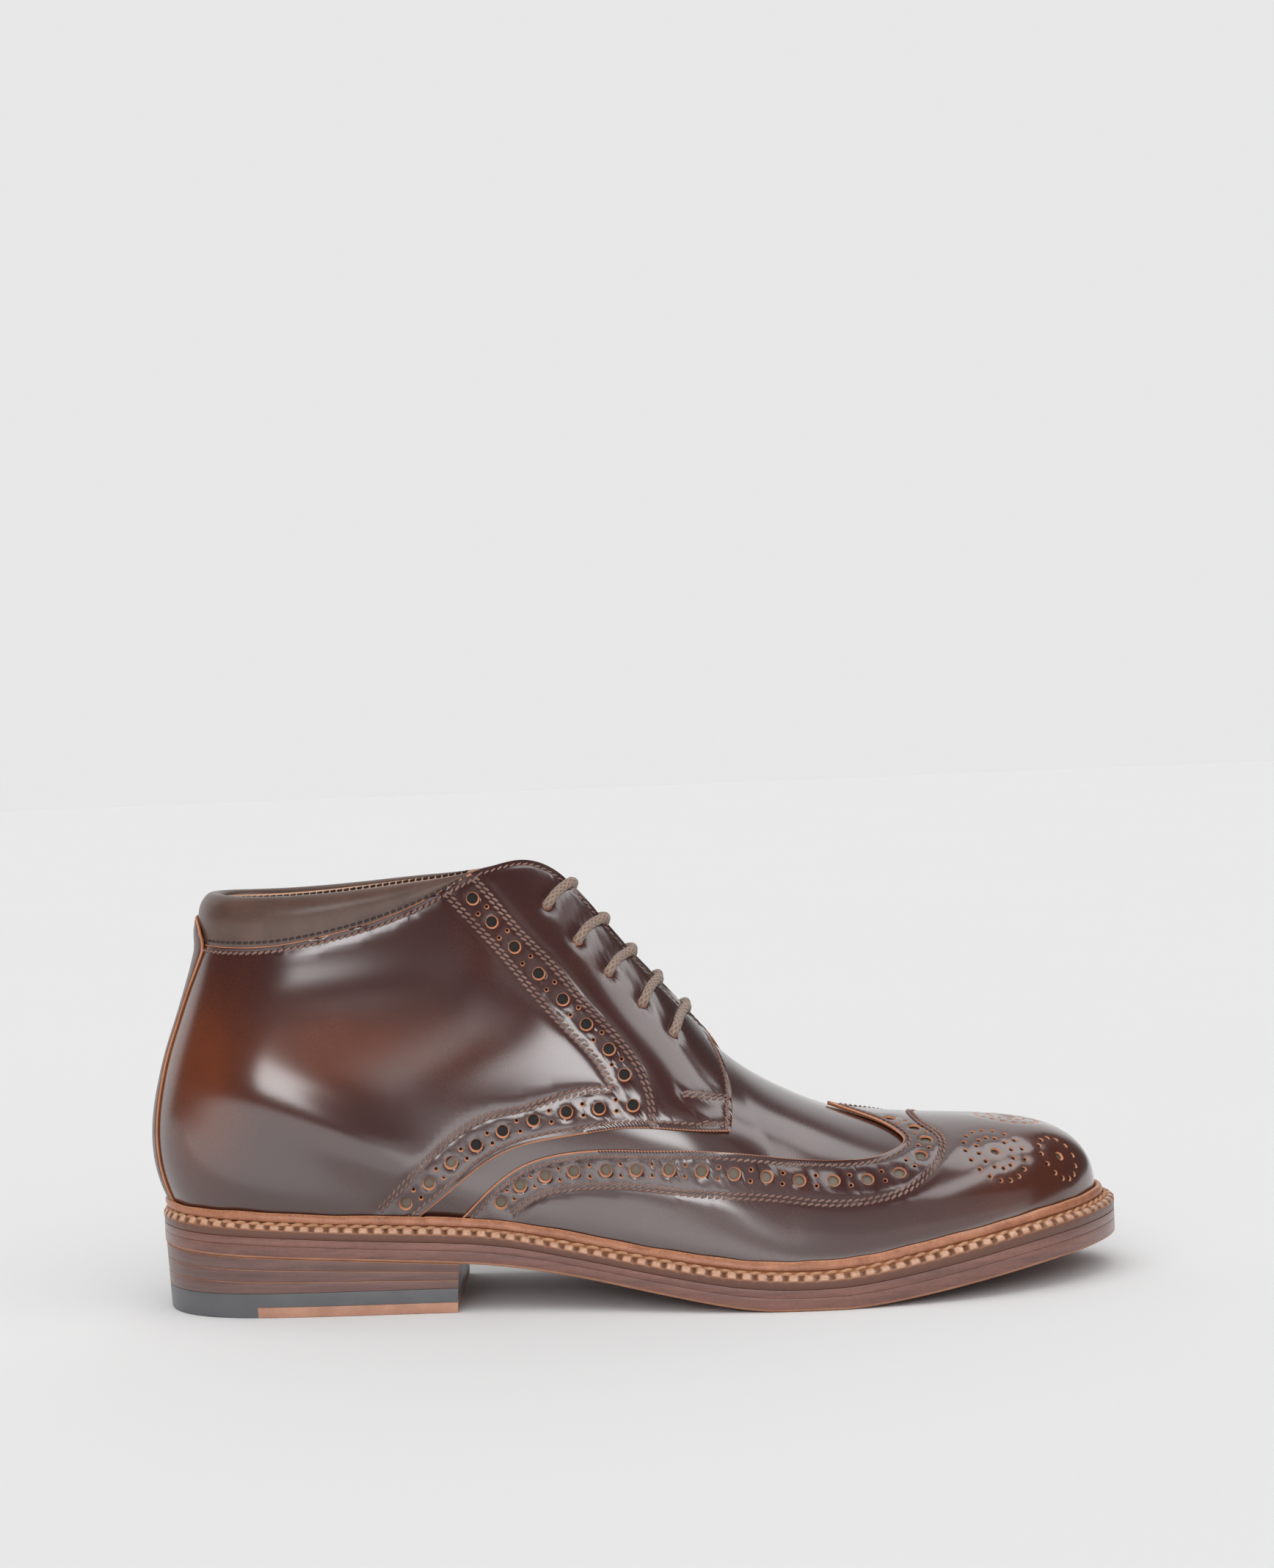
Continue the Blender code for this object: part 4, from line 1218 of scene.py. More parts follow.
def pairs(centres):
    """The two small holes across the band between each two large ones."""
    middle = (centres[:-1] + centres[1:]) / 2
    along = surface(centres[1:]) - surface(centres[:-1])
    across = unit(np.cross(last_normal(middle[:, 0], middle[:, 1]), along)) * PAIR_SPREAD
    return np.concatenate([slide(middle, across), slide(middle, -across)])


def sized(centres, radius):
    return [(centre, radius) for centre in centres]


SPOT_ROUNDS, SPOT_STEPS = 5, 40


def spot(x, z, inner_side):
    """The place on the facing that shows at x and z from the side."""
    turn_low, turn_high, climb_low, climb_high = FACING_ROW, THROAT_ROW - 0.1, 0.45, 1.0
    for _ in range(SPOT_ROUNDS):
        turns = np.linspace(turn_low, turn_high, SPOT_STEPS)[:, None]
        climbs = np.linspace(climb_low, climb_high, SPOT_STEPS)[None, :]
        points = last_surface(LOOP_ROWS - turns if inner_side else turns, climbs)
        miss = (points[..., 0] - x) ** 2 + (points[..., 2] - z) ** 2
        i, j = np.unravel_index(np.argmin(miss), miss.shape)
        turn, climb = turns[i, 0], climbs[0, j]
        turn_span = 2 * (turn_high - turn_low) / SPOT_STEPS
        climb_span = 2 * (climb_high - climb_low) / SPOT_STEPS
        turn_low, turn_high = turn - turn_span, turn + turn_span
        climb_low, climb_high = climb - climb_span, min(climb + climb_span, 1.0)
    return np.array([LOOP_ROWS - turn if inner_side else turn, climb])


def throat_turn(x, inner_side):
    """The turn at which the facing's edge reaches x."""
    turns = np.linspace(FACING_ROW, THROAT_ROW, 201)
    turn = np.interp(x, last_surface(turns, 1.0)[:, 0], turns)
    return LOOP_ROWS - turn if inner_side else turn


LACE_ROWS = [
    [(*spot(x, z, side), throat_turn(edge_x, side)) for x, z, edge_x in rows_of(HOLES)]
    for side in (False, True)
]


def to_edge_place(row, share):
    """A place of the bar on its way from the hole to the facing's edge."""
    turn, climb, edge_turn = row
    return np.array([turn + (edge_turn - turn) * share, climb + (1 - climb) * share])


def over_facing(row, share):
    """A point of the bar, which is pulled half straight over the facing's curve."""
    rise = [LACE_OVER - 0.3 * part for part in (0, share, 1)]
    hole, here, edge = (off_last(*to_edge_place(row, part), up) for part, up in zip((0, share, 1), rise))
    return (here + hole + (edge - hole) * share) / 2


def lace_route():
    """The lace's middle line; rows count from the lowest bar, a shift moves a hidden run over the facing."""
    outer, inner = LACE_ROWS

    def hole(row, run_step):
        """Up through a hole: from a hidden run along the facing to a bar across the throat."""
        turn, climb, _ = row
        axis, normal = last_surface(turn, climb), last_normal(turn, climb)
        to_edge = unit(over_facing(row, 0.1) - over_facing(row, 0.0))
        to_run = unit(last_surface(turn + run_step, climb) - axis)
        part_way = 0.3 * LACE_BEND
        return [
            axis + normal * LACE_UNDER + to_run * LACE_BEND,
            axis + normal * (LACE_UNDER + part_way) + to_run * part_way,
            axis - normal * WALL / 2,
            axis + normal * (LACE_OVER - part_way) + to_edge * part_way,
            axis + normal * LACE_OVER + to_edge * LACE_BEND,
        ]

    def bar(number, start, end, from_run, to_run):
        """From under one facing, up, across the throat and down under the other."""
        first, second = start[number], end[number]
        points = hole(first, from_run)
        near, far = over_facing(first, 1.0), over_facing(second, 1.0)
        points += [over_facing(first, 0.6), near]
        points += [near + (far - near) * share + BAR_DIP * dip for share, dip in BAR_SAG]
        points += [far, over_facing(second, 0.6)]
        return points + hole(second, to_run)[::-1]

    def hidden(start, end, shift, shares):
        """Between the facing and the tongue, from one hole's row to another's."""
        share = np.array(shares)
        turn = start[0] + (end[0] - start[0]) * share
        climb = start[1] + (end[1] - start[1]) * share + shift
        return list(off_last(turn, climb, LACE_UNDER))

    down_outer, up_outer = 0.3, -0.3
    down_inner, up_inner = -0.3, 0.3
    to_throat, from_throat = 0.03, -0.035
    one_row, two_rows, loose_end = (0.5,), (0.3, 0.5, 0.7), (0.2, 0.5)
    route = hidden(outer[4], outer[3], from_throat, loose_end)
    route += bar(3, outer, inner, up_outer, down_inner)
    route += hidden(inner[3], inner[1], to_throat, two_rows)
    route += bar(1, inner, outer, up_inner, down_outer)
    route += hidden(outer[1], outer[0], 0.0, one_row)
    route += bar(0, outer, inner, up_outer, up_inner)
    route += hidden(inner[0], inner[2], from_throat, two_rows)
    route += bar(2, inner, outer, down_inner, up_outer)
    route += hidden(outer[2], outer[4], to_throat, two_rows)
    route += bar(4, outer, inner, down_outer, down_inner)
    return np.array(route)


def tube(path, radius, sides):
    """A round cord along a smooth line, its sides carried along without twisting."""
    along = unit(np.gradient(path, axis=0))
    side = unit(np.cross(along[0], (0.3, 0.5, 0.8)))
    sides_at = []
    for direction in along:
        side = unit(side - direction * np.dot(side, direction))
        sides_at.append(side)
    first = np.array(sides_at)
    second = np.cross(along, first)
    angle = np.linspace(0, 2 * math.pi, sides + 1)[None, :, None]
    return path[:, None] + radius * (np.cos(angle) * first[:, None] + np.sin(angle) * second[:, None])


# The lines and holes of the upper, on the outer side.
wing_edge = trace(np.concatenate([to_feather(seen(WING_EDGE_PX)), [crest_place(WING_PEAK_X)]]))
wing_row = trace(np.concatenate([seen(WING_ROW_PX), [crest_place(WING_ROW_PEAK_X)]]))
quarter_edge = trace(to_feather(seen(QUARTER_EDGE_PX)))
facing_front = trace(np.concatenate([seen(FACING_FRONT_PX), [(CORNER_TURN, 1.0)]]))
facing_edge = run_at(1.0, CORNER_TURN, FACING_ROW)
collar_seam = run_at(1.0, FACING_ROW, 0.0)
collar_seam[:, 1] = seam_climb(collar_seam[:, 0])
facing_front_row, facing_rear_row, band_row = (
    trace(seen(pixels)) for pixels in (FACING_FRONT_ROW_PX, FACING_REAR_ROW_PX, BAND_ROW_PX)
)
tacks = [trace(seen(pixels)) for pixels in (TACK_PX, CORNER_TACK_PX, SIDE_TACK_PX)]
facing_holes, band_holes, wing_holes = (
    seen(pixels) for pixels in (FACING_HOLES_PX, BAND_HOLES_PX, WING_HOLES_PX)
)

quarter_rows = []
for decorative in (facing_front_row, facing_rear_row, band_row, tacks[0]):
    quarter_rows += doubled(decorative)
quarter_rows += tacks[1:]
quarter_rows += [beside(line, EDGE_ROW) for line in (quarter_edge, facing_front[:-5], collar_seam)]
fold_rows = [beside(run_at(1.0, CORNER_TURN - 0.1, FACING_ROW), FOLD_ROW)]
wing_rows = doubled(wing_row) + [beside(wing_edge, -EDGE_ROW)]


def rosette(place, radius, count, tall):
    """Places in a ring about a centre, found in space, so that a wide ring still lies true on the toe."""
    along, up = spokes(place, count)
    return places_near(surface(place) + radius * (along + tall * up))


def medallion_holes():
    """The toe's punched rosettes: one on the middle line, two on either side."""
    near, front = seen(MEDALLION_PX)
    flowers = [(crest_place(MEDALLION_CENTRE_X), *ROSETTE_MIDDLE)]
    for place, shape in ((near, ROSETTE_SIDE), (front, ROSETTE_FRONT)):
        flowers += [(place, *shape), (mirrored(place), *shape)]
    holes = [(place, ROSETTE_HOLE) for place, _, _ in flowers]
    taken = [surface(place) for place, _, _ in flowers] + [last_surface(TOE_ROW, 1.0)]
    for place, tall, rings in flowers:
        for radius, count in rings:
            for dot in rosette(place, radius, count, tall):
                point = surface(dot)
                if np.linalg.norm(np.array(taken) - point, axis=1).min() > ROSETTE_GAP:
                    holes.append((dot, ROSETTE_DOT))
                    taken.append(point)
    return holes


toe_holes = medallion_holes()


def make_quarters(leather, edge):
    bottom = run_at(0.0, 0.0, quarter_edge[0, 0])
    outer = chain(bottom, quarter_edge, facing_front, facing_edge, collar_seam)
    outline = np.concatenate([outer, mirrored(outer)[-2:0:-1]])
    large = np.concatenate([facing_holes, band_holes[1:]])
    small = np.concatenate([pairs(facing_holes), pairs(band_holes)])
    lace = np.array([row[:2] for row in LACE_ROWS[0]])
    holes = sized(large, LARGE_HOLE) + sized(small, SMALL_HOLE) + sized(lace, LACE_HOLE)
    holes += [(mirrored(place), radius) for place, radius in holes]
    rows = LACE_ROWS[0] + LACE_ROWS[1]
    dents = np.array([surface(to_edge_place(row, share)) for row in rows for share in np.linspace(0, 1, 9)])
    raw = both([beside(line, RAW_WIDTH) for line in (quarter_edge, facing_front, collar_seam)])
    folded = surface(np.concatenate(both([trace(facing_edge[::6], 0.5)])))
    made = panel(outline, QUARTER_TOP, holes, both(quarter_rows + fold_rows), dents, raw, folded)
    return finished(made, "quarters", [leather, edge], ["upper"])


def make_wing_cap(leather, edge):
    base = run_at(0.0, LOOP_ROWS - wing_edge[0, 0], wing_edge[0, 0])
    outline = np.concatenate([wing_edge, mirrored(wing_edge)[-2::-1], base[1:-1]])[::-1]
    holes = sized(wing_holes, LARGE_HOLE) + sized(pairs(wing_holes), SMALL_HOLE)
    holes += [(mirrored(place), radius) for place, radius in holes]
    holes += toe_holes
    made = panel(outline, WING_TOP, holes, both(wing_rows), raw=both([beside(wing_edge, -RAW_WIDTH)]))
    return finished(made, "wing_cap", [leather, edge])


def make_vamp(leather, hole_reflection):
    """The vamp runs on under the wing cap and some way under the quarters; behind their holes it is painted a
    matt grey-brown, a painted reflection of the pale floor seen through them.
    """
    under = beside(quarter_edge, VAMP_UNDER)[::12]
    under = under[under[:, 0] < VAMP_TURN]
    start = to_feather(under)[0]
    rear = trace(np.concatenate([[start], under, VAMP_REAR]))
    base = run_at(0.0, LOOP_ROWS - rear[0, 0], rear[0, 0])
    outline = np.concatenate([rear, mirrored(rear)[::-1], base[1:-1]])[::-1]
    made = panel(outline, VAMP_TOP, thick=VAMP_THICK)
    punched = np.concatenate([wing_holes, band_holes, [place for place, _ in toe_holes]])
    behind = tree_of(to_model(surface(np.concatenate([punched, mirrored(punched)]))))
    for face in made.data.polygons:
        if behind.find(face.center)[2] < HOLE_REFLECTION_REACH * MM:
            face.material_index = 1
    return finished(made, "vamp", [leather, hole_reflection])


def make_backing(hole_shade):
    """A near-black sheet under the punched bands of the quarters: painted shade, which shows as the dark
    inside their holes.
    """
    corners = seen(BACKING_PX)
    outline = chain(*[np.linspace(a, b, 12) for a, b in zip(corners, np.roll(corners, -1, axis=0))])[:-1]
    sides = [panel(line, BACKING_TOP, thick=BACKING_THICK) for line in (outline, mirrored(outline)[::-1])]
    return finished(join(*sides), "punch_shade_backing", [hole_shade, hole_shade])


def strap_height(points):
    """The back strap lies over the padded collar at its tip."""
    low, high = STRAP_TIP
    return STRAP_TOP + STRAP_LIFT * np.clip((points[:, 2] - low) / (high - low), 0, 1)


def make_back_strap(leather, edge):
    turns, heights = np.array(STRAP_SIDE).T
    side = trace(np.concatenate([[(STRAP_FOOT, 0.0)], stack(turns, climb_at_height(turns, heights))]))
    base = run_at(0.0, -side[0, 0], side[0, 0])
    outline = np.concatenate([base, side[1:], mirrored(side)[-2:0:-1] - (LOOP_ROWS, 0)])
    outline[:, 0] = np.mod(outline[:, 0], LOOP_ROWS)
    made = panel(outline, strap_height, raw=both([beside(side, RAW_WIDTH)]), thick=STRAP_THICK)
    return finished(made, "back_strap", [leather, edge])


def paint(obj, finish_at, axis=1):
    """Gives each face a finish by where it lies, 0 to 1, on an axis of the grid that made the piece."""
    laid = obj.data.uv_layers.active.data
    for face in obj.data.polygons:
        middle = sum(laid[i].uv[axis] for i in face.loop_indices) / face.loop_total
        face.material_index = int(finish_at(middle))
    return obj


def make_lining(leather):
    turns = np.linspace(0, LOOP_ROWS, 289)
    row = row_of(turns)
    top = np.where(row < FACING_ROW, seam_climb(turns), np.where(row < THROAT_ROW, 0.985, 1.0))
    points = off_last(turns[:, None], np.linspace(0, 1, 33)[None, :] * top[:, None], LINING_TOP)
    ridge = np.where((row >= THROAT_ROW)[:, None], points[::-1, -1], points[:, -1])
    points[:, -1] = (points[:, -1] + ridge) / 2
    made = weld(grid(points), recalculate=False)
    apply(made, "SOLIDIFY", thickness=LINING_THICK * MM, offset=-1)
    return finished(made, "lining", [leather])


def make_collar(leather, lining):
    """The padded band round the ankle; its lining starts a little below the rolled rim."""
    turns = np.linspace(-COLLAR_END_ROW, COLLAR_END_ROW, 181)
    seam = seam_climb(np.mod(turns, LOOP_ROWS))
    low = last_surface(turns, seam)[:, 2]
    lifted = climb_at_height(np.mod(turns, LOOP_ROWS), low - 0.4)
    height = last_surface(turns, np.ones_like(turns))[:, 2] - low
    fullness = np.clip(height / COLLAR_HEIGHT, 0.05, 1)
    bulge, pad = COLLAR_BULGE * fullness, COLLAR_PAD * fullness
    wall = WALL * np.clip(3 * fullness, 0.3, 1)

    def at(share, out):
        return off_last(turns, lifted + (1 - lifted) * share, out)

    section = np.stack([
        at(share, bulges * bulge + pads * pad + walls * wall) for share, bulges, pads, walls in COLLAR_SECTION
    ])
    count = len(section)
    closed = np.concatenate([section[-3:], section, section[:3]]).reshape(count + 6, -1)
    fine = spline(np.arange(-3, count + 3), closed, np.linspace(0, count, 61))
    points = np.moveaxis(fine.reshape(61, len(turns), 3), 0, 1)
    made = weld(grid(points), fill=True)
    paint(made, lambda across: COLLAR_LINED[0] < across < COLLAR_LINED[1])
    finished(made, "collar", [leather, lining], ["collar"])

    def row(share, out, facing):
        line = at(share, out)
        length = lengths(line)
        stops = np.arange(COLLAR_STITCH_END, length[-1] - COLLAR_STITCH_END, STITCH_PITCH)
        stops = np.interp(stops, length, turns)
        spots = np.array([np.interp(stops, turns, line[:, axis]) for axis in range(3)]).T
        climbs = np.interp(stops, turns, lifted + (1 - lifted) * share)
        normals = facing * last_normal(stops, climbs)[:-1]
        return thread(spots[:-1], spots[1:], normals, STITCH_RADIUS, COLLAR_SLANT)

    return join(row(0.1, 0.36 * bulge, 1), row(0.86, -wall - 0.93 * pad, -1))


def make_tongue(leather):
    rows = np.linspace(0, len(TONGUE.x) - 1, 73)
    knots = np.arange(len(TONGUE.x))
    x, z, half, back, down = (
        spline(knots, getattr(TONGUE, name), rows)[:, None] for name in ("x", "z", "half", "back", "down")
    )
    angle = np.radians(np.linspace(TONGUE_WRAP, -TONGUE_WRAP, 41))[None, :]
    away = 1 - np.cos(angle)
    side = half * np.sin(angle) + around(CREST_LOOP, THROAT_ROW)[1]
    made = weld(grid(stack(x - back * away, side + 0 * away, z - down * away)), recalculate=False)
    apply(made, "SOLIDIFY", thickness=TONGUE_THICK * MM, offset=-1)
    apply(made, "BEVEL", width=0.5 * MM, segments=2, limit_method="ANGLE")
    return finished(made, "tongue", [leather], ["tongue"])


def make_lace(braid):
    route = lace_route()
    knots = lengths(route)
    path = spline(knots, route, np.linspace(0, knots[-1], 900))
    made = weld(grid(tube(path, LACE_RADIUS, 14)), fill=True)
    return finished(made, "lace", [braid], ["lace"], angle=60)


def slab(low, high, edge, rounding, rows=217, across=9):
    """A layer of the sole between two heights, each a function of x, its edge rounded above and below."""
    turns = np.linspace(0, TOE_ROW, rows)

    def at(side, inset, level, rise):
        plan = edge(side, inset)
        return raised(plan, level(plan[:, 0]) + rise)

    def flat(start, end, level):
        rungs = []
        for share in np.linspace(0, 1, across)[1:-1]:
            plan = start[:, :2] * (1 - share) + end[:, :2] * share
            rungs.append(raised(plan, level(plan[:, 0])))
        return rungs

    bend = np.array([(1 - math.sin(a), 1 - math.cos(a)) for a in np.radians((0, 30, 60, 90))])
    below, above = bend * rounding[0], bend * rounding[1]
    outer = [at(turns, inset, low, rise) for inset, rise in below]
    outer += [at(turns, inset, high, -rise) for inset, rise in above[::-1]]
    inner = [at(LOOP_ROWS - turns, inset, high, -rise) for inset, rise in above]
    inner += [at(LOOP_ROWS - turns, inset, low, rise) for inset, rise in below[::-1]]
    section = outer + flat(outer[-1], inner[0], high) + inner + flat(inner[-1], outer[0], low)
    return weld(grid(wrapped(np.stack(section, axis=1), 1)))


def make_sole(edge_leather, bare, insole_leather):
    joint = SOLE_JOINT / 2
    rounding = (TREAD_ROUND, SOLE_ROUND)
    outsole = slab(tread, lambda x: sole_level(x, OUTSOLE_SHARE) - joint, sole_edge, rounding)
    paint(outsole, lambda across: any(low < across < high for low, high in OUTSOLE_BARE))
    finished(outsole, "outsole", [edge_leather, bare], ["outsole"])
    midsole = slab(
        lambda x: sole_level(x, OUTSOLE_SHARE) + joint,
        lambda x: sole_level(x, MIDSOLE_SHARE) - joint,
        sole_edge,
        (SOLE_ROUND, SOLE_ROUND),
    )
    finished(midsole, "midsole", [edge_leather], ["midsole"])
    insole = slab(
        lambda x: sole_level(x, MIDSOLE_SHARE) + GAP / 2,
        lambda x: sole_level(x, 1.0) + INSOLE_RISE,
        lambda turn, inset: plan_edge(turn, -INSOLE_INSET - inset),
        (INSOLE_ROUND, INSOLE_ROUND),
    )
    finished(insole, "insole", [insole_leather], ["insole"])


def even_turns(spacing, parts):
    """Turns at even steps round the welt: a whole number of spacings, each in so many parts."""
    turns = np.linspace(0, LOOP_ROWS, 1441)
    length = lengths(plan_edge(turns, np.full(len(turns), WELT_MIDDLE)))
    count = round(length[-1] / spacing)
    return np.interp(np.linspace(0, length[-1], count * parts, endpoint=False), length, turns)


def on_welt(turns, grow, rise, share=1.0):
    """Points out from the feather line and up from a level of the sole."""
    plan = plan_edge(turns, grow + 0 * turns)
    return raised(plan, sole_level(plan[:, 0], share) + rise)


def stitch_line(turns, share):
    """How far out a line on the flange lies, from 0 at the lip to 1 at the edge."""
    return LIP_OUT + share * (around(WELT_LOOP, turns) - LIP_OUT)


def ring_of(section):
    """A closed ring round the boot from the lines of its section."""
    return weld(grid(wrapped(wrapped(np.stack(section, axis=1), 0), 1)))


def make_welt_flange(leather):
    """The flange on the midsole, its outer edge wheeled into a bead between each two stitches."""
    parts = 12
    turns = even_turns(WELT_PITCH, parts)
    phase = np.mod(np.arange(len(turns)) / parts + 0.5, 1.0)
    number = np.floor(np.arange(len(turns)) / parts + 0.5)
    bead = BEAD_HEIGHT * (1 - np.abs(2 * phase - 1) ** 3) * (1 + 0.28 * np.sin(WELT_JITTER * number))
    flange = around(WELT_LOOP, turns)
    under = SOLE_JOINT / 2
    section = [
        on_welt(turns, -WELT_TUCK, under, MIDSOLE_SHARE),
        on_welt(turns, flange - 0.25, under, MIDSOLE_SHARE),
        on_welt(turns, flange - 0.06, under + 0.15, MIDSOLE_SHARE),
        on_welt(turns, flange, -1.4),
        on_welt(turns, flange - 0.02 + 0.15 * bead, -0.5 + 0.2 * bead),
        on_welt(turns, flange - 0.25 + 0.3 * bead, 0.0 + 0.45 * bead),
        on_welt(turns, stitch_line(turns, 0.84), 0.2 + 0.95 * bead),
        on_welt(turns, stitch_line(turns, 0.66), 0.5 + bead),
        on_welt(turns, stitch_line(turns, 0.52), 0.75 + 0.6 * bead),
        on_welt(turns, stitch_line(turns, 0.40), 0.9),
        on_welt(turns, stitch_line(turns, 0.22), 1.15),
        on_welt(turns, stitch_line(turns, 0.0), 1.9),
        on_welt(turns, LIP_OUT - 1.0, 1.6),
        on_welt(turns, -WELT_TUCK, 0.0),
    ]
    made = ring_of(section)
    finished(made, "welt_flange", [leather], ["welt"], angle=60)


def make_welt_thread(cord):
    turns = even_turns(WELT_PITCH, 1)
    number = np.arange(len(turns))
    line = stitch_line(turns, CORD_LINE + CORD_SWAY * np.sin(WELT_JITTER * number))
    points = on_welt(turns, line, CORD_RISE)
    points[:, 2] += CORD_WOBBLE * np.cos(WELT_JITTER * number)
    outward = on_welt(turns, 4.0, 0.0) - on_welt(turns, 3.0, 0.0)
    facing = unit(outward * 0.6 + np.array([0.0, 0.0, 1.0]))
    made = thread(points, np.roll(points, -1, axis=0), facing, WELT_THREAD, CORD_SLANT)
    return finished(made, "welt_thread", [cord], angle=80)


def make_welt_lip(leather):
    """The raised lip that leans on the upper all round, cut and butted on the outer side."""
    turns = even_turns(LIP_STEP, 1)
    foot = last_surface(turns, 0)
    outward = plan_edge(turns, np.ones(len(turns))) - foot[:, :2]

    def lean(rise):
        """How far the upper's wall stands out from its feather line at a height over the flange."""
        climb = climb_at_height(turns, foot[:, 2] - GAP + rise)
        return np.einsum("ij,ij->i", last_surface(turns, climb)[:, :2] - foot[:, :2], outward)

    wave = sum(size * np.sin(rate * turns + start) for size, rate, start in LIP_WAVES)
    joint = surface(seen([LIP_JOINT_PX]))[0]
    away = np.linalg.norm(foot[:, :2] - joint[:2], axis=1)
    pinch = LIP_PINCH * np.exp(-((away / LIP_PINCH_REACH) ** 2))
    section = []
    for grow, rise, free in LIP_SECTION:
        out = lean(np.maximum(rise, 0.0) + np.zeros(len(turns))) + grow + free * (wave - pinch)
        section.append(on_welt(turns, out, rise + free * (1.3 * wave - pinch)))
    made = ring_of(section)
    return finished(made, "welt_lip", [leather], angle=70)


def heel_outline(z, inset, x_from):
    """The heel seen from above at a height, tapered; it starts at x_from instead of going round the back."""
    seat = sole_level(np.array(HEEL_LENGTH / 2), 0.0)
    inset = inset + HEEL_INSET + HEEL_TAPER * (seat - z)
    breast = HEEL_LENGTH - inset
    sides = []
    for sign in (1, -1):
        turns = np.linspace(0, 7, 281)
        edge = sole_edge(sign * turns, inset)
        ends = np.interp([x_from or 0.0, breast], edge[:, 0], turns)
        side = sole_edge(sign * np.linspace(*ends, 70), inset)
        side[-1, 0] = breast
        sides.append(side)
    outer, inner = sides
    return np.concatenate([outer[::-1], inner if x_from else inner[1:]])


def heel_layer(low, high, rounding, x_from=None):
    """A heel layer between two heights, each a function of x, with a fine round on its edges."""
    rings = []
    steps = [(1.0, 0.0), (0.3, 0.3), (0.0, 1.0)]
    middle = HEEL_LENGTH / 2
    for level, turn in ((low, 1), (high, -1)):
        for inset, rise in steps[::turn]:
            height = turn * rise * rounding
            plan = heel_outline(level(middle) + height, inset * rounding, x_from)
            rings.append(raised(plan, level(plan[:, 0]) + height))
    return weld(grid(wrapped(np.array(rings), 1)), fill=True)


def seat_line(x):
    """The straight seat under the sole, from its height at the back to its height at the breast."""
    back, front = tread(np.array([0.0, HEEL_LENGTH])) - HEEL_JOINT
    return back + (front - back) * np.asarray(x) / HEEL_LENGTH


def make_heel(lift_leather, bare, rubber, insert_leather):
    def lift_level(number, shift):
        return lambda x: RUBBER_TOP + number / LIFTS * (seat_line(x) - RUBBER_TOP) + shift

    def level(z):
        return lambda x: z + 0 * np.asarray(x)

    half = HEEL_JOINT / 2
    for number in range(LIFTS):
        lift = heel_layer(lift_level(number, half), lift_level(number + 1, -half), HEEL_ROUND)
        paint(lift, lambda along: along > LIFT_BARE, axis=0)
        name = f"heel_lift_{number + 1}"
        finished(lift, name, [lift_leather, bare], [name])
    block = heel_layer(level(0.0), level(RUBBER_TOP - half), RUBBER_ROUND)
    pocket_low = np.array([POCKET_FROM, -POCKET_HALF, -POCKET_PAST])
    pocket_size = np.array([HEEL_LENGTH + POCKET_PAST, POCKET_HALF, POCKET_TOP]) - pocket_low
    deselect()
    bpy.ops.mesh.primitive_cube_add(size=1, location=to_model(pocket_low + pocket_size / 2))
    pocket = bpy.context.object
    pocket.scale = pocket_size * MM
    apply(block, "BOOLEAN", operation="DIFFERENCE", solver="EXACT", object=pocket)
    bpy.data.objects.remove(pocket)
    finished(block, "heel_rubber", [rubber], ["heel_rubber"], angle=30)
    insert = heel_layer(level(0.0), level(POCKET_TOP - HEEL_JOINT), RUBBER_ROUND, POCKET_FROM + HEEL_JOINT)
    finished(insert, "heel_insert", [insert_leather], ["heel_insert"], angle=30)


def make_camera():
    deselect()
    bpy.ops.object.camera_add(location=to_model(CAMERA_AT))
    camera = bpy.context.object
    turned = Matrix.Rotation(math.pi / 2 - CAMERA_PITCH, 3, "X") @ Matrix.Rotation(-CAMERA_ROLL, 3, "Z")
    camera.rotation_euler = turned.to_euler()
    camera.data.sensor_width = SENSOR
    camera.data.lens = FOCAL_PIXELS / max(PHOTO_SIZE) * SENSOR
    camera.data.clip_start = 0.01
    bpy.context.scene.camera = camera


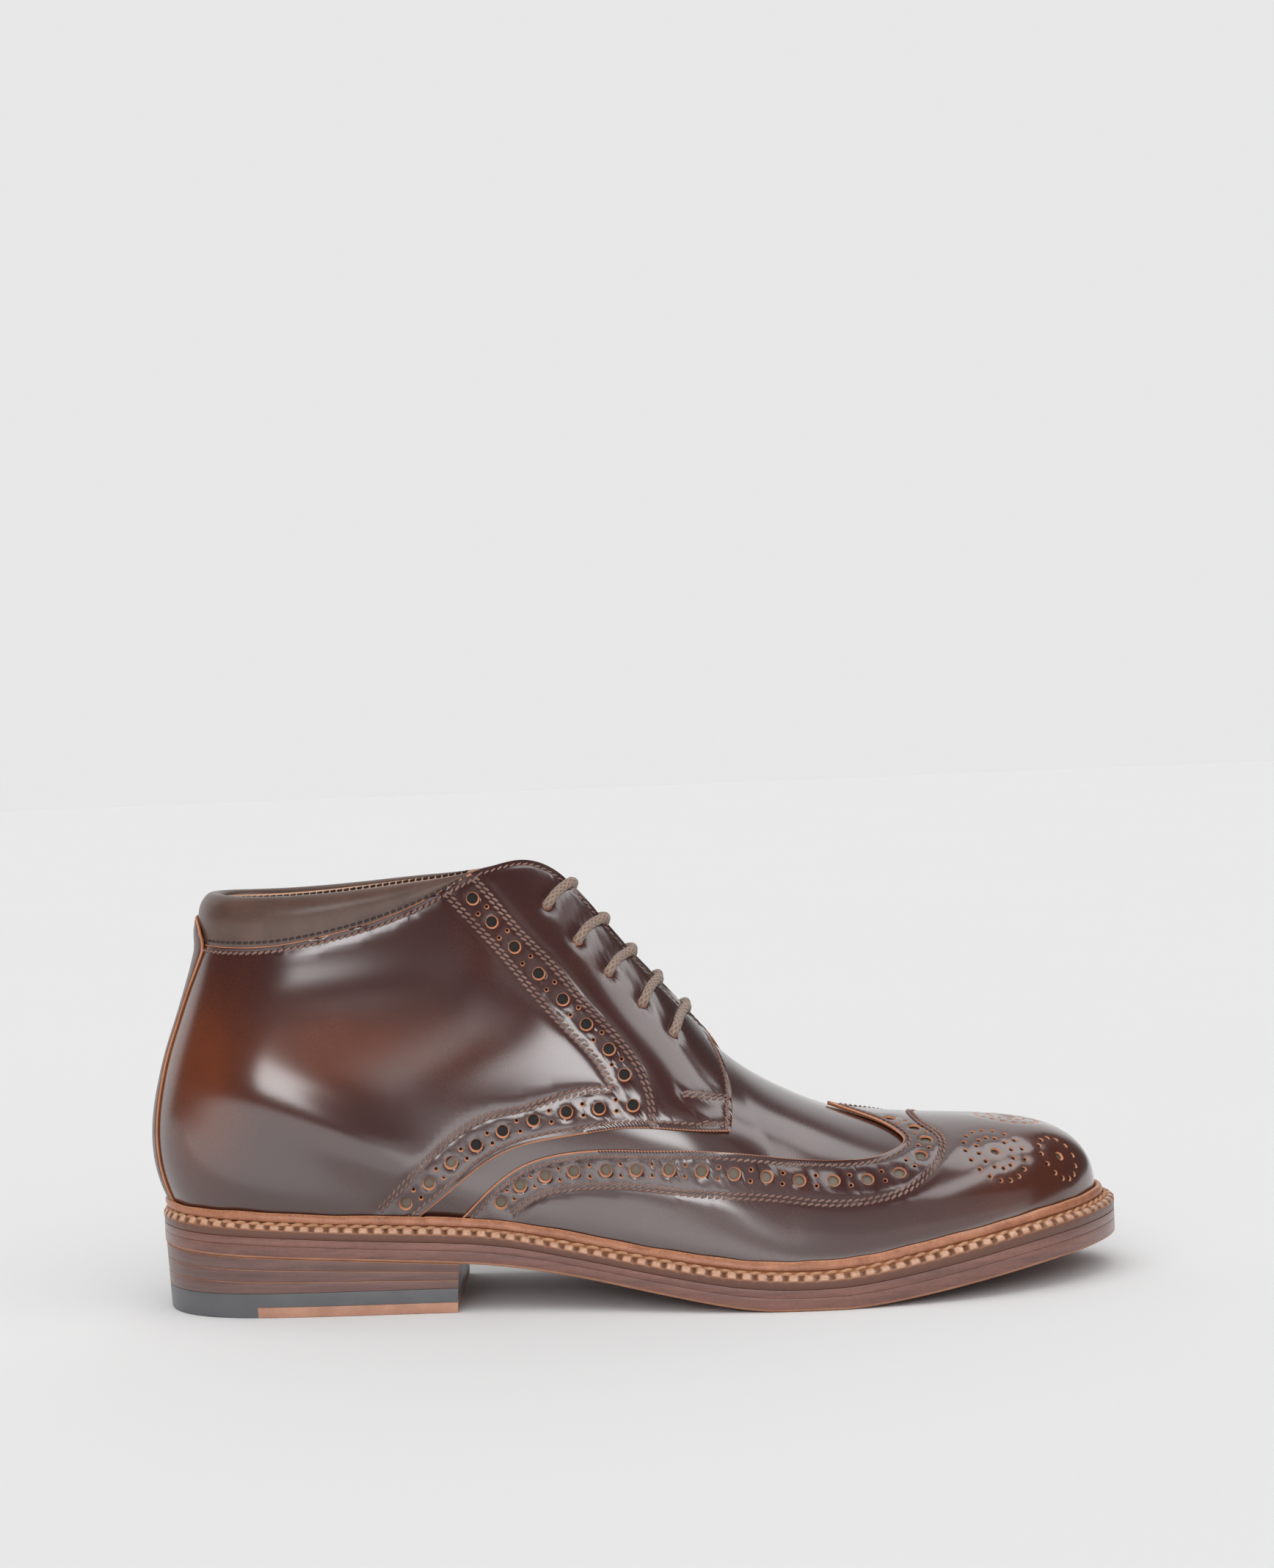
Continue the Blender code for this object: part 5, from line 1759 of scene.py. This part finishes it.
def make_studio():
    """A white room, dimmer on the camera's side but for its lights, a soft sun overhead and a pale floor."""
    world = bpy.data.worlds.new("studio")
    bpy.context.scene.world = world
    world.use_nodes = True
    world.node_tree.nodes.clear()
    wire = Wire(world.node_tree)
    way = wire.node("SeparateXYZ", {}, {0: wire.node("TexCoord", output=0)})
    side, ahead, up = (way.beside(axis) for axis in (0, 1, 2))
    bearing = wire.math("ARCTAN2", side, ahead * -1.0) * math.degrees(1)
    height = wire.math("ARCSINE", up) * math.degrees(1)
    strength = wire.math("ADD", BACKDROP, 0.0)
    for left, right, low, high, soft, added in rows_of(LIGHTS):
        lit = bearing.between(left - soft, left + soft) * (1 - bearing.between(right - soft, right + soft))
        lit = lit * height.between(low - soft, low + soft) * (1 - height.between(high - soft, high + soft))
        strength = strength + lit * added
    straight = wire.node("LightPath")
    strength = straight * BACKDROP + (1 - straight) * strength
    shown = wire.node("Background", {}, {"Color": (1.0, 1.0, 1.0, 1.0), "Strength": strength})
    output = world.node_tree.nodes.new("ShaderNodeOutputWorld")
    world.node_tree.links.new(shown.socket, output.inputs["Surface"])
    deselect()
    bpy.ops.object.light_add(type="SUN", rotation=(math.radians(SKY_TILT), 0, 0))
    sky = bpy.context.object
    sky.data.energy = SKY
    sky.data.angle = math.radians(SKY_ANGLE)
    sky.visible_glossy = False
    for x, y, z, tip, turn, length, width, light, matt in rows_of(CARDS):
        deselect()
        turned = (math.radians(tip), 0, math.radians(turn))
        bpy.ops.object.light_add(type="AREA", location=to_model((x, y, z)), rotation=turned)
        card = bpy.context.object
        card.data.shape = "RECTANGLE"
        card.data.size, card.data.size_y = length * MM, width * MM
        card.data.energy = light * math.pi * length * width * MM * MM
        card.visible_camera = False
        card.visible_diffuse = bool(matt)
    deselect()
    bpy.ops.mesh.primitive_grid_add(
        x_subdivisions=FLOOR_PARTS,
        y_subdivisions=FLOOR_PARTS,
        size=FLOOR_SIZE,
        location=(0, 0, -FLOOR_DROP),
    )
    floor = bpy.context.object
    floor.name = floor.data.name = "floor"
    made, wire = material("pale_floor")
    cloud = wire.noise(wire.coords(), 3.0)
    surfaced(made, wire, {
        "Base Color": cloud.colour(FLOOR_TONE[0], FLOOR_TONE[1]),
        "Roughness": 0.9,
        "Specular IOR Level": 0.0,
    })
    floor.data.materials.append(made)


bpy.context.scene.view_settings.view_transform = "Standard"
make_camera()
make_studio()

DARK, WARM = (0.044, 0.0115, 0.0095), (0.145, 0.033, 0.01)
GLOWS = (
    (59, 82, 26, 12, 0.65),
    (17, 76, 12, 26, 0.8),
    (92, 84, 24, 9, 0.2),
    (280, 34, 24, 16, 0.36),
)
burnished = polished_leather("burnished_leather", DARK, WARM, GLOWS)
strap_leather = polished_leather("strap_leather", DARK, WARM, GLOWS, 0.4, 0.35)
cut_edge = plain_leather("cut_edge", (0.4, 0.15, 0.07), (0.66, 0.29, 0.15), 0.6, 0.05, 1500.0)
collar_leather = plain_leather(
    "collar_leather", (0.062, 0.031, 0.022), (0.125, 0.068, 0.05), 0.42, 0.07, 1300.0, 0.35
)
lining_leather = plain_leather("lining_leather", (0.66, 0.37, 0.235), (0.82, 0.52, 0.36), 0.7, 0.05, 1200.0)
# Matt grey-brown on the vamp behind the holes: painted reflection of the pale floor on the dark vamp.
painted_hole_reflection = plain_leather("painted_hole_reflection", (0.15, 0.125, 0.1), (0.25, 0.21, 0.165), 0.9, 0.12, 1800.0)
# A near-black sheet under the punched bands: painted shade for the inside of their holes.
hole_shade_sheet = plain_leather("hole_shade_sheet", (0.012, 0.011, 0.011), (0.03, 0.027, 0.027), 0.9, 0.12, 1800.0)
sewing_thread = plain_leather("sewing_thread", (0.12, 0.062, 0.05), (0.34, 0.2, 0.16), 0.5, 0.04, 3000.0)
# Near-black thread: the row's darkness is partly painted shade of the puckers along the collar's seam.
collar_thread_pucker_shade = plain_leather("collar_thread_pucker_shade", (0.02, 0.013, 0.01), (0.05, 0.03, 0.024), 0.6, 0.04, 3000.0)
lace_braid = braided("lace_braid", (0.14, 0.088, 0.066), (0.4, 0.272, 0.205))
# The flange's second colour is painted shade between the beads; the last is bare leather, partly painted as
# the shade of the crease by the lip.
flange_leather = beaded(
    "flange_leather",
    len(even_turns(WELT_PITCH, 1)),
    14.0,
    (0.115, 0.045, 0.028),
    (0.16, 0.06, 0.028),
    (0.68, 0.39, 0.25),
    (0.34, 0.13, 0.055),
)
# The lip's first colour is painted shade for the crease at its foot.
lip_leather = lipped(
    "lip_leather",
    len(LIP_SECTION),
    (0.05, 0.016, 0.008),
    (0.28, 0.098, 0.046),
    (0.52, 0.22, 0.115),
    (0.62, 0.28, 0.14),
)
welt_cord = plain_leather("welt_cord", (0.34, 0.15, 0.072), (0.62, 0.34, 0.19), 0.6, 0.08, 2500.0)
sole_edge_leather = plain_leather(
    "sole_edge_leather", (0.1, 0.038, 0.027), (0.26, 0.106, 0.078),
    0.36, 0.04, 900.0, 0.7, (0.3, 0.3, 3.0), 0.9,
)
lift_leather = plain_leather(
    "lift_leather", (0.108, 0.058, 0.05), (0.205, 0.11, 0.095),
    0.4, 0.04, 900.0, 0.35, (0.2, 0.2, 3.5), 1.2,
)
bare_leather = plain_leather("bare_leather", (0.3, 0.13, 0.07), (0.5, 0.24, 0.14), 0.6, 0.06, 900.0)
# Its grey is lighter than the black rubber: partly painted reflection of the pale floor.
heel_rubber = plain_leather("heel_rubber", (0.105, 0.105, 0.112), (0.14, 0.14, 0.15), 0.4, 0.03, 1200.0, 0.1)
insert_leather = plain_leather("insert_leather", (0.4, 0.2, 0.13), (0.62, 0.34, 0.235), 0.7, 0.08, 900.0)

make_quarters(burnished, cut_edge)
make_wing_cap(burnished, cut_edge)
make_vamp(burnished, painted_hole_reflection)
make_backing(hole_shade_sheet)
make_back_strap(strap_leather, cut_edge)
upper_thread = join(
    sewn(both(quarter_rows), QUARTER_TOP - STITCH_DIP + 0.1),
    sewn(both(fold_rows), QUARTER_TOP - STITCH_DIP - 0.05, FOLD_THREAD),
    sewn(both(wing_rows), WING_TOP - STITCH_DIP + 0.1),
)
finished(upper_thread, "upper_thread", [sewing_thread], angle=80)
make_lining(lining_leather)
finished(make_collar(collar_leather, lining_leather), "collar_stitches", [collar_thread_pucker_shade], angle=80)
make_tongue(burnished)
make_lace(lace_braid)
make_sole(sole_edge_leather, bare_leather, lining_leather)
make_welt_flange(flange_leather)
make_welt_thread(welt_cord)
make_welt_lip(lip_leather)
make_heel(lift_leather, bare_leather, heel_rubber, insert_leather)
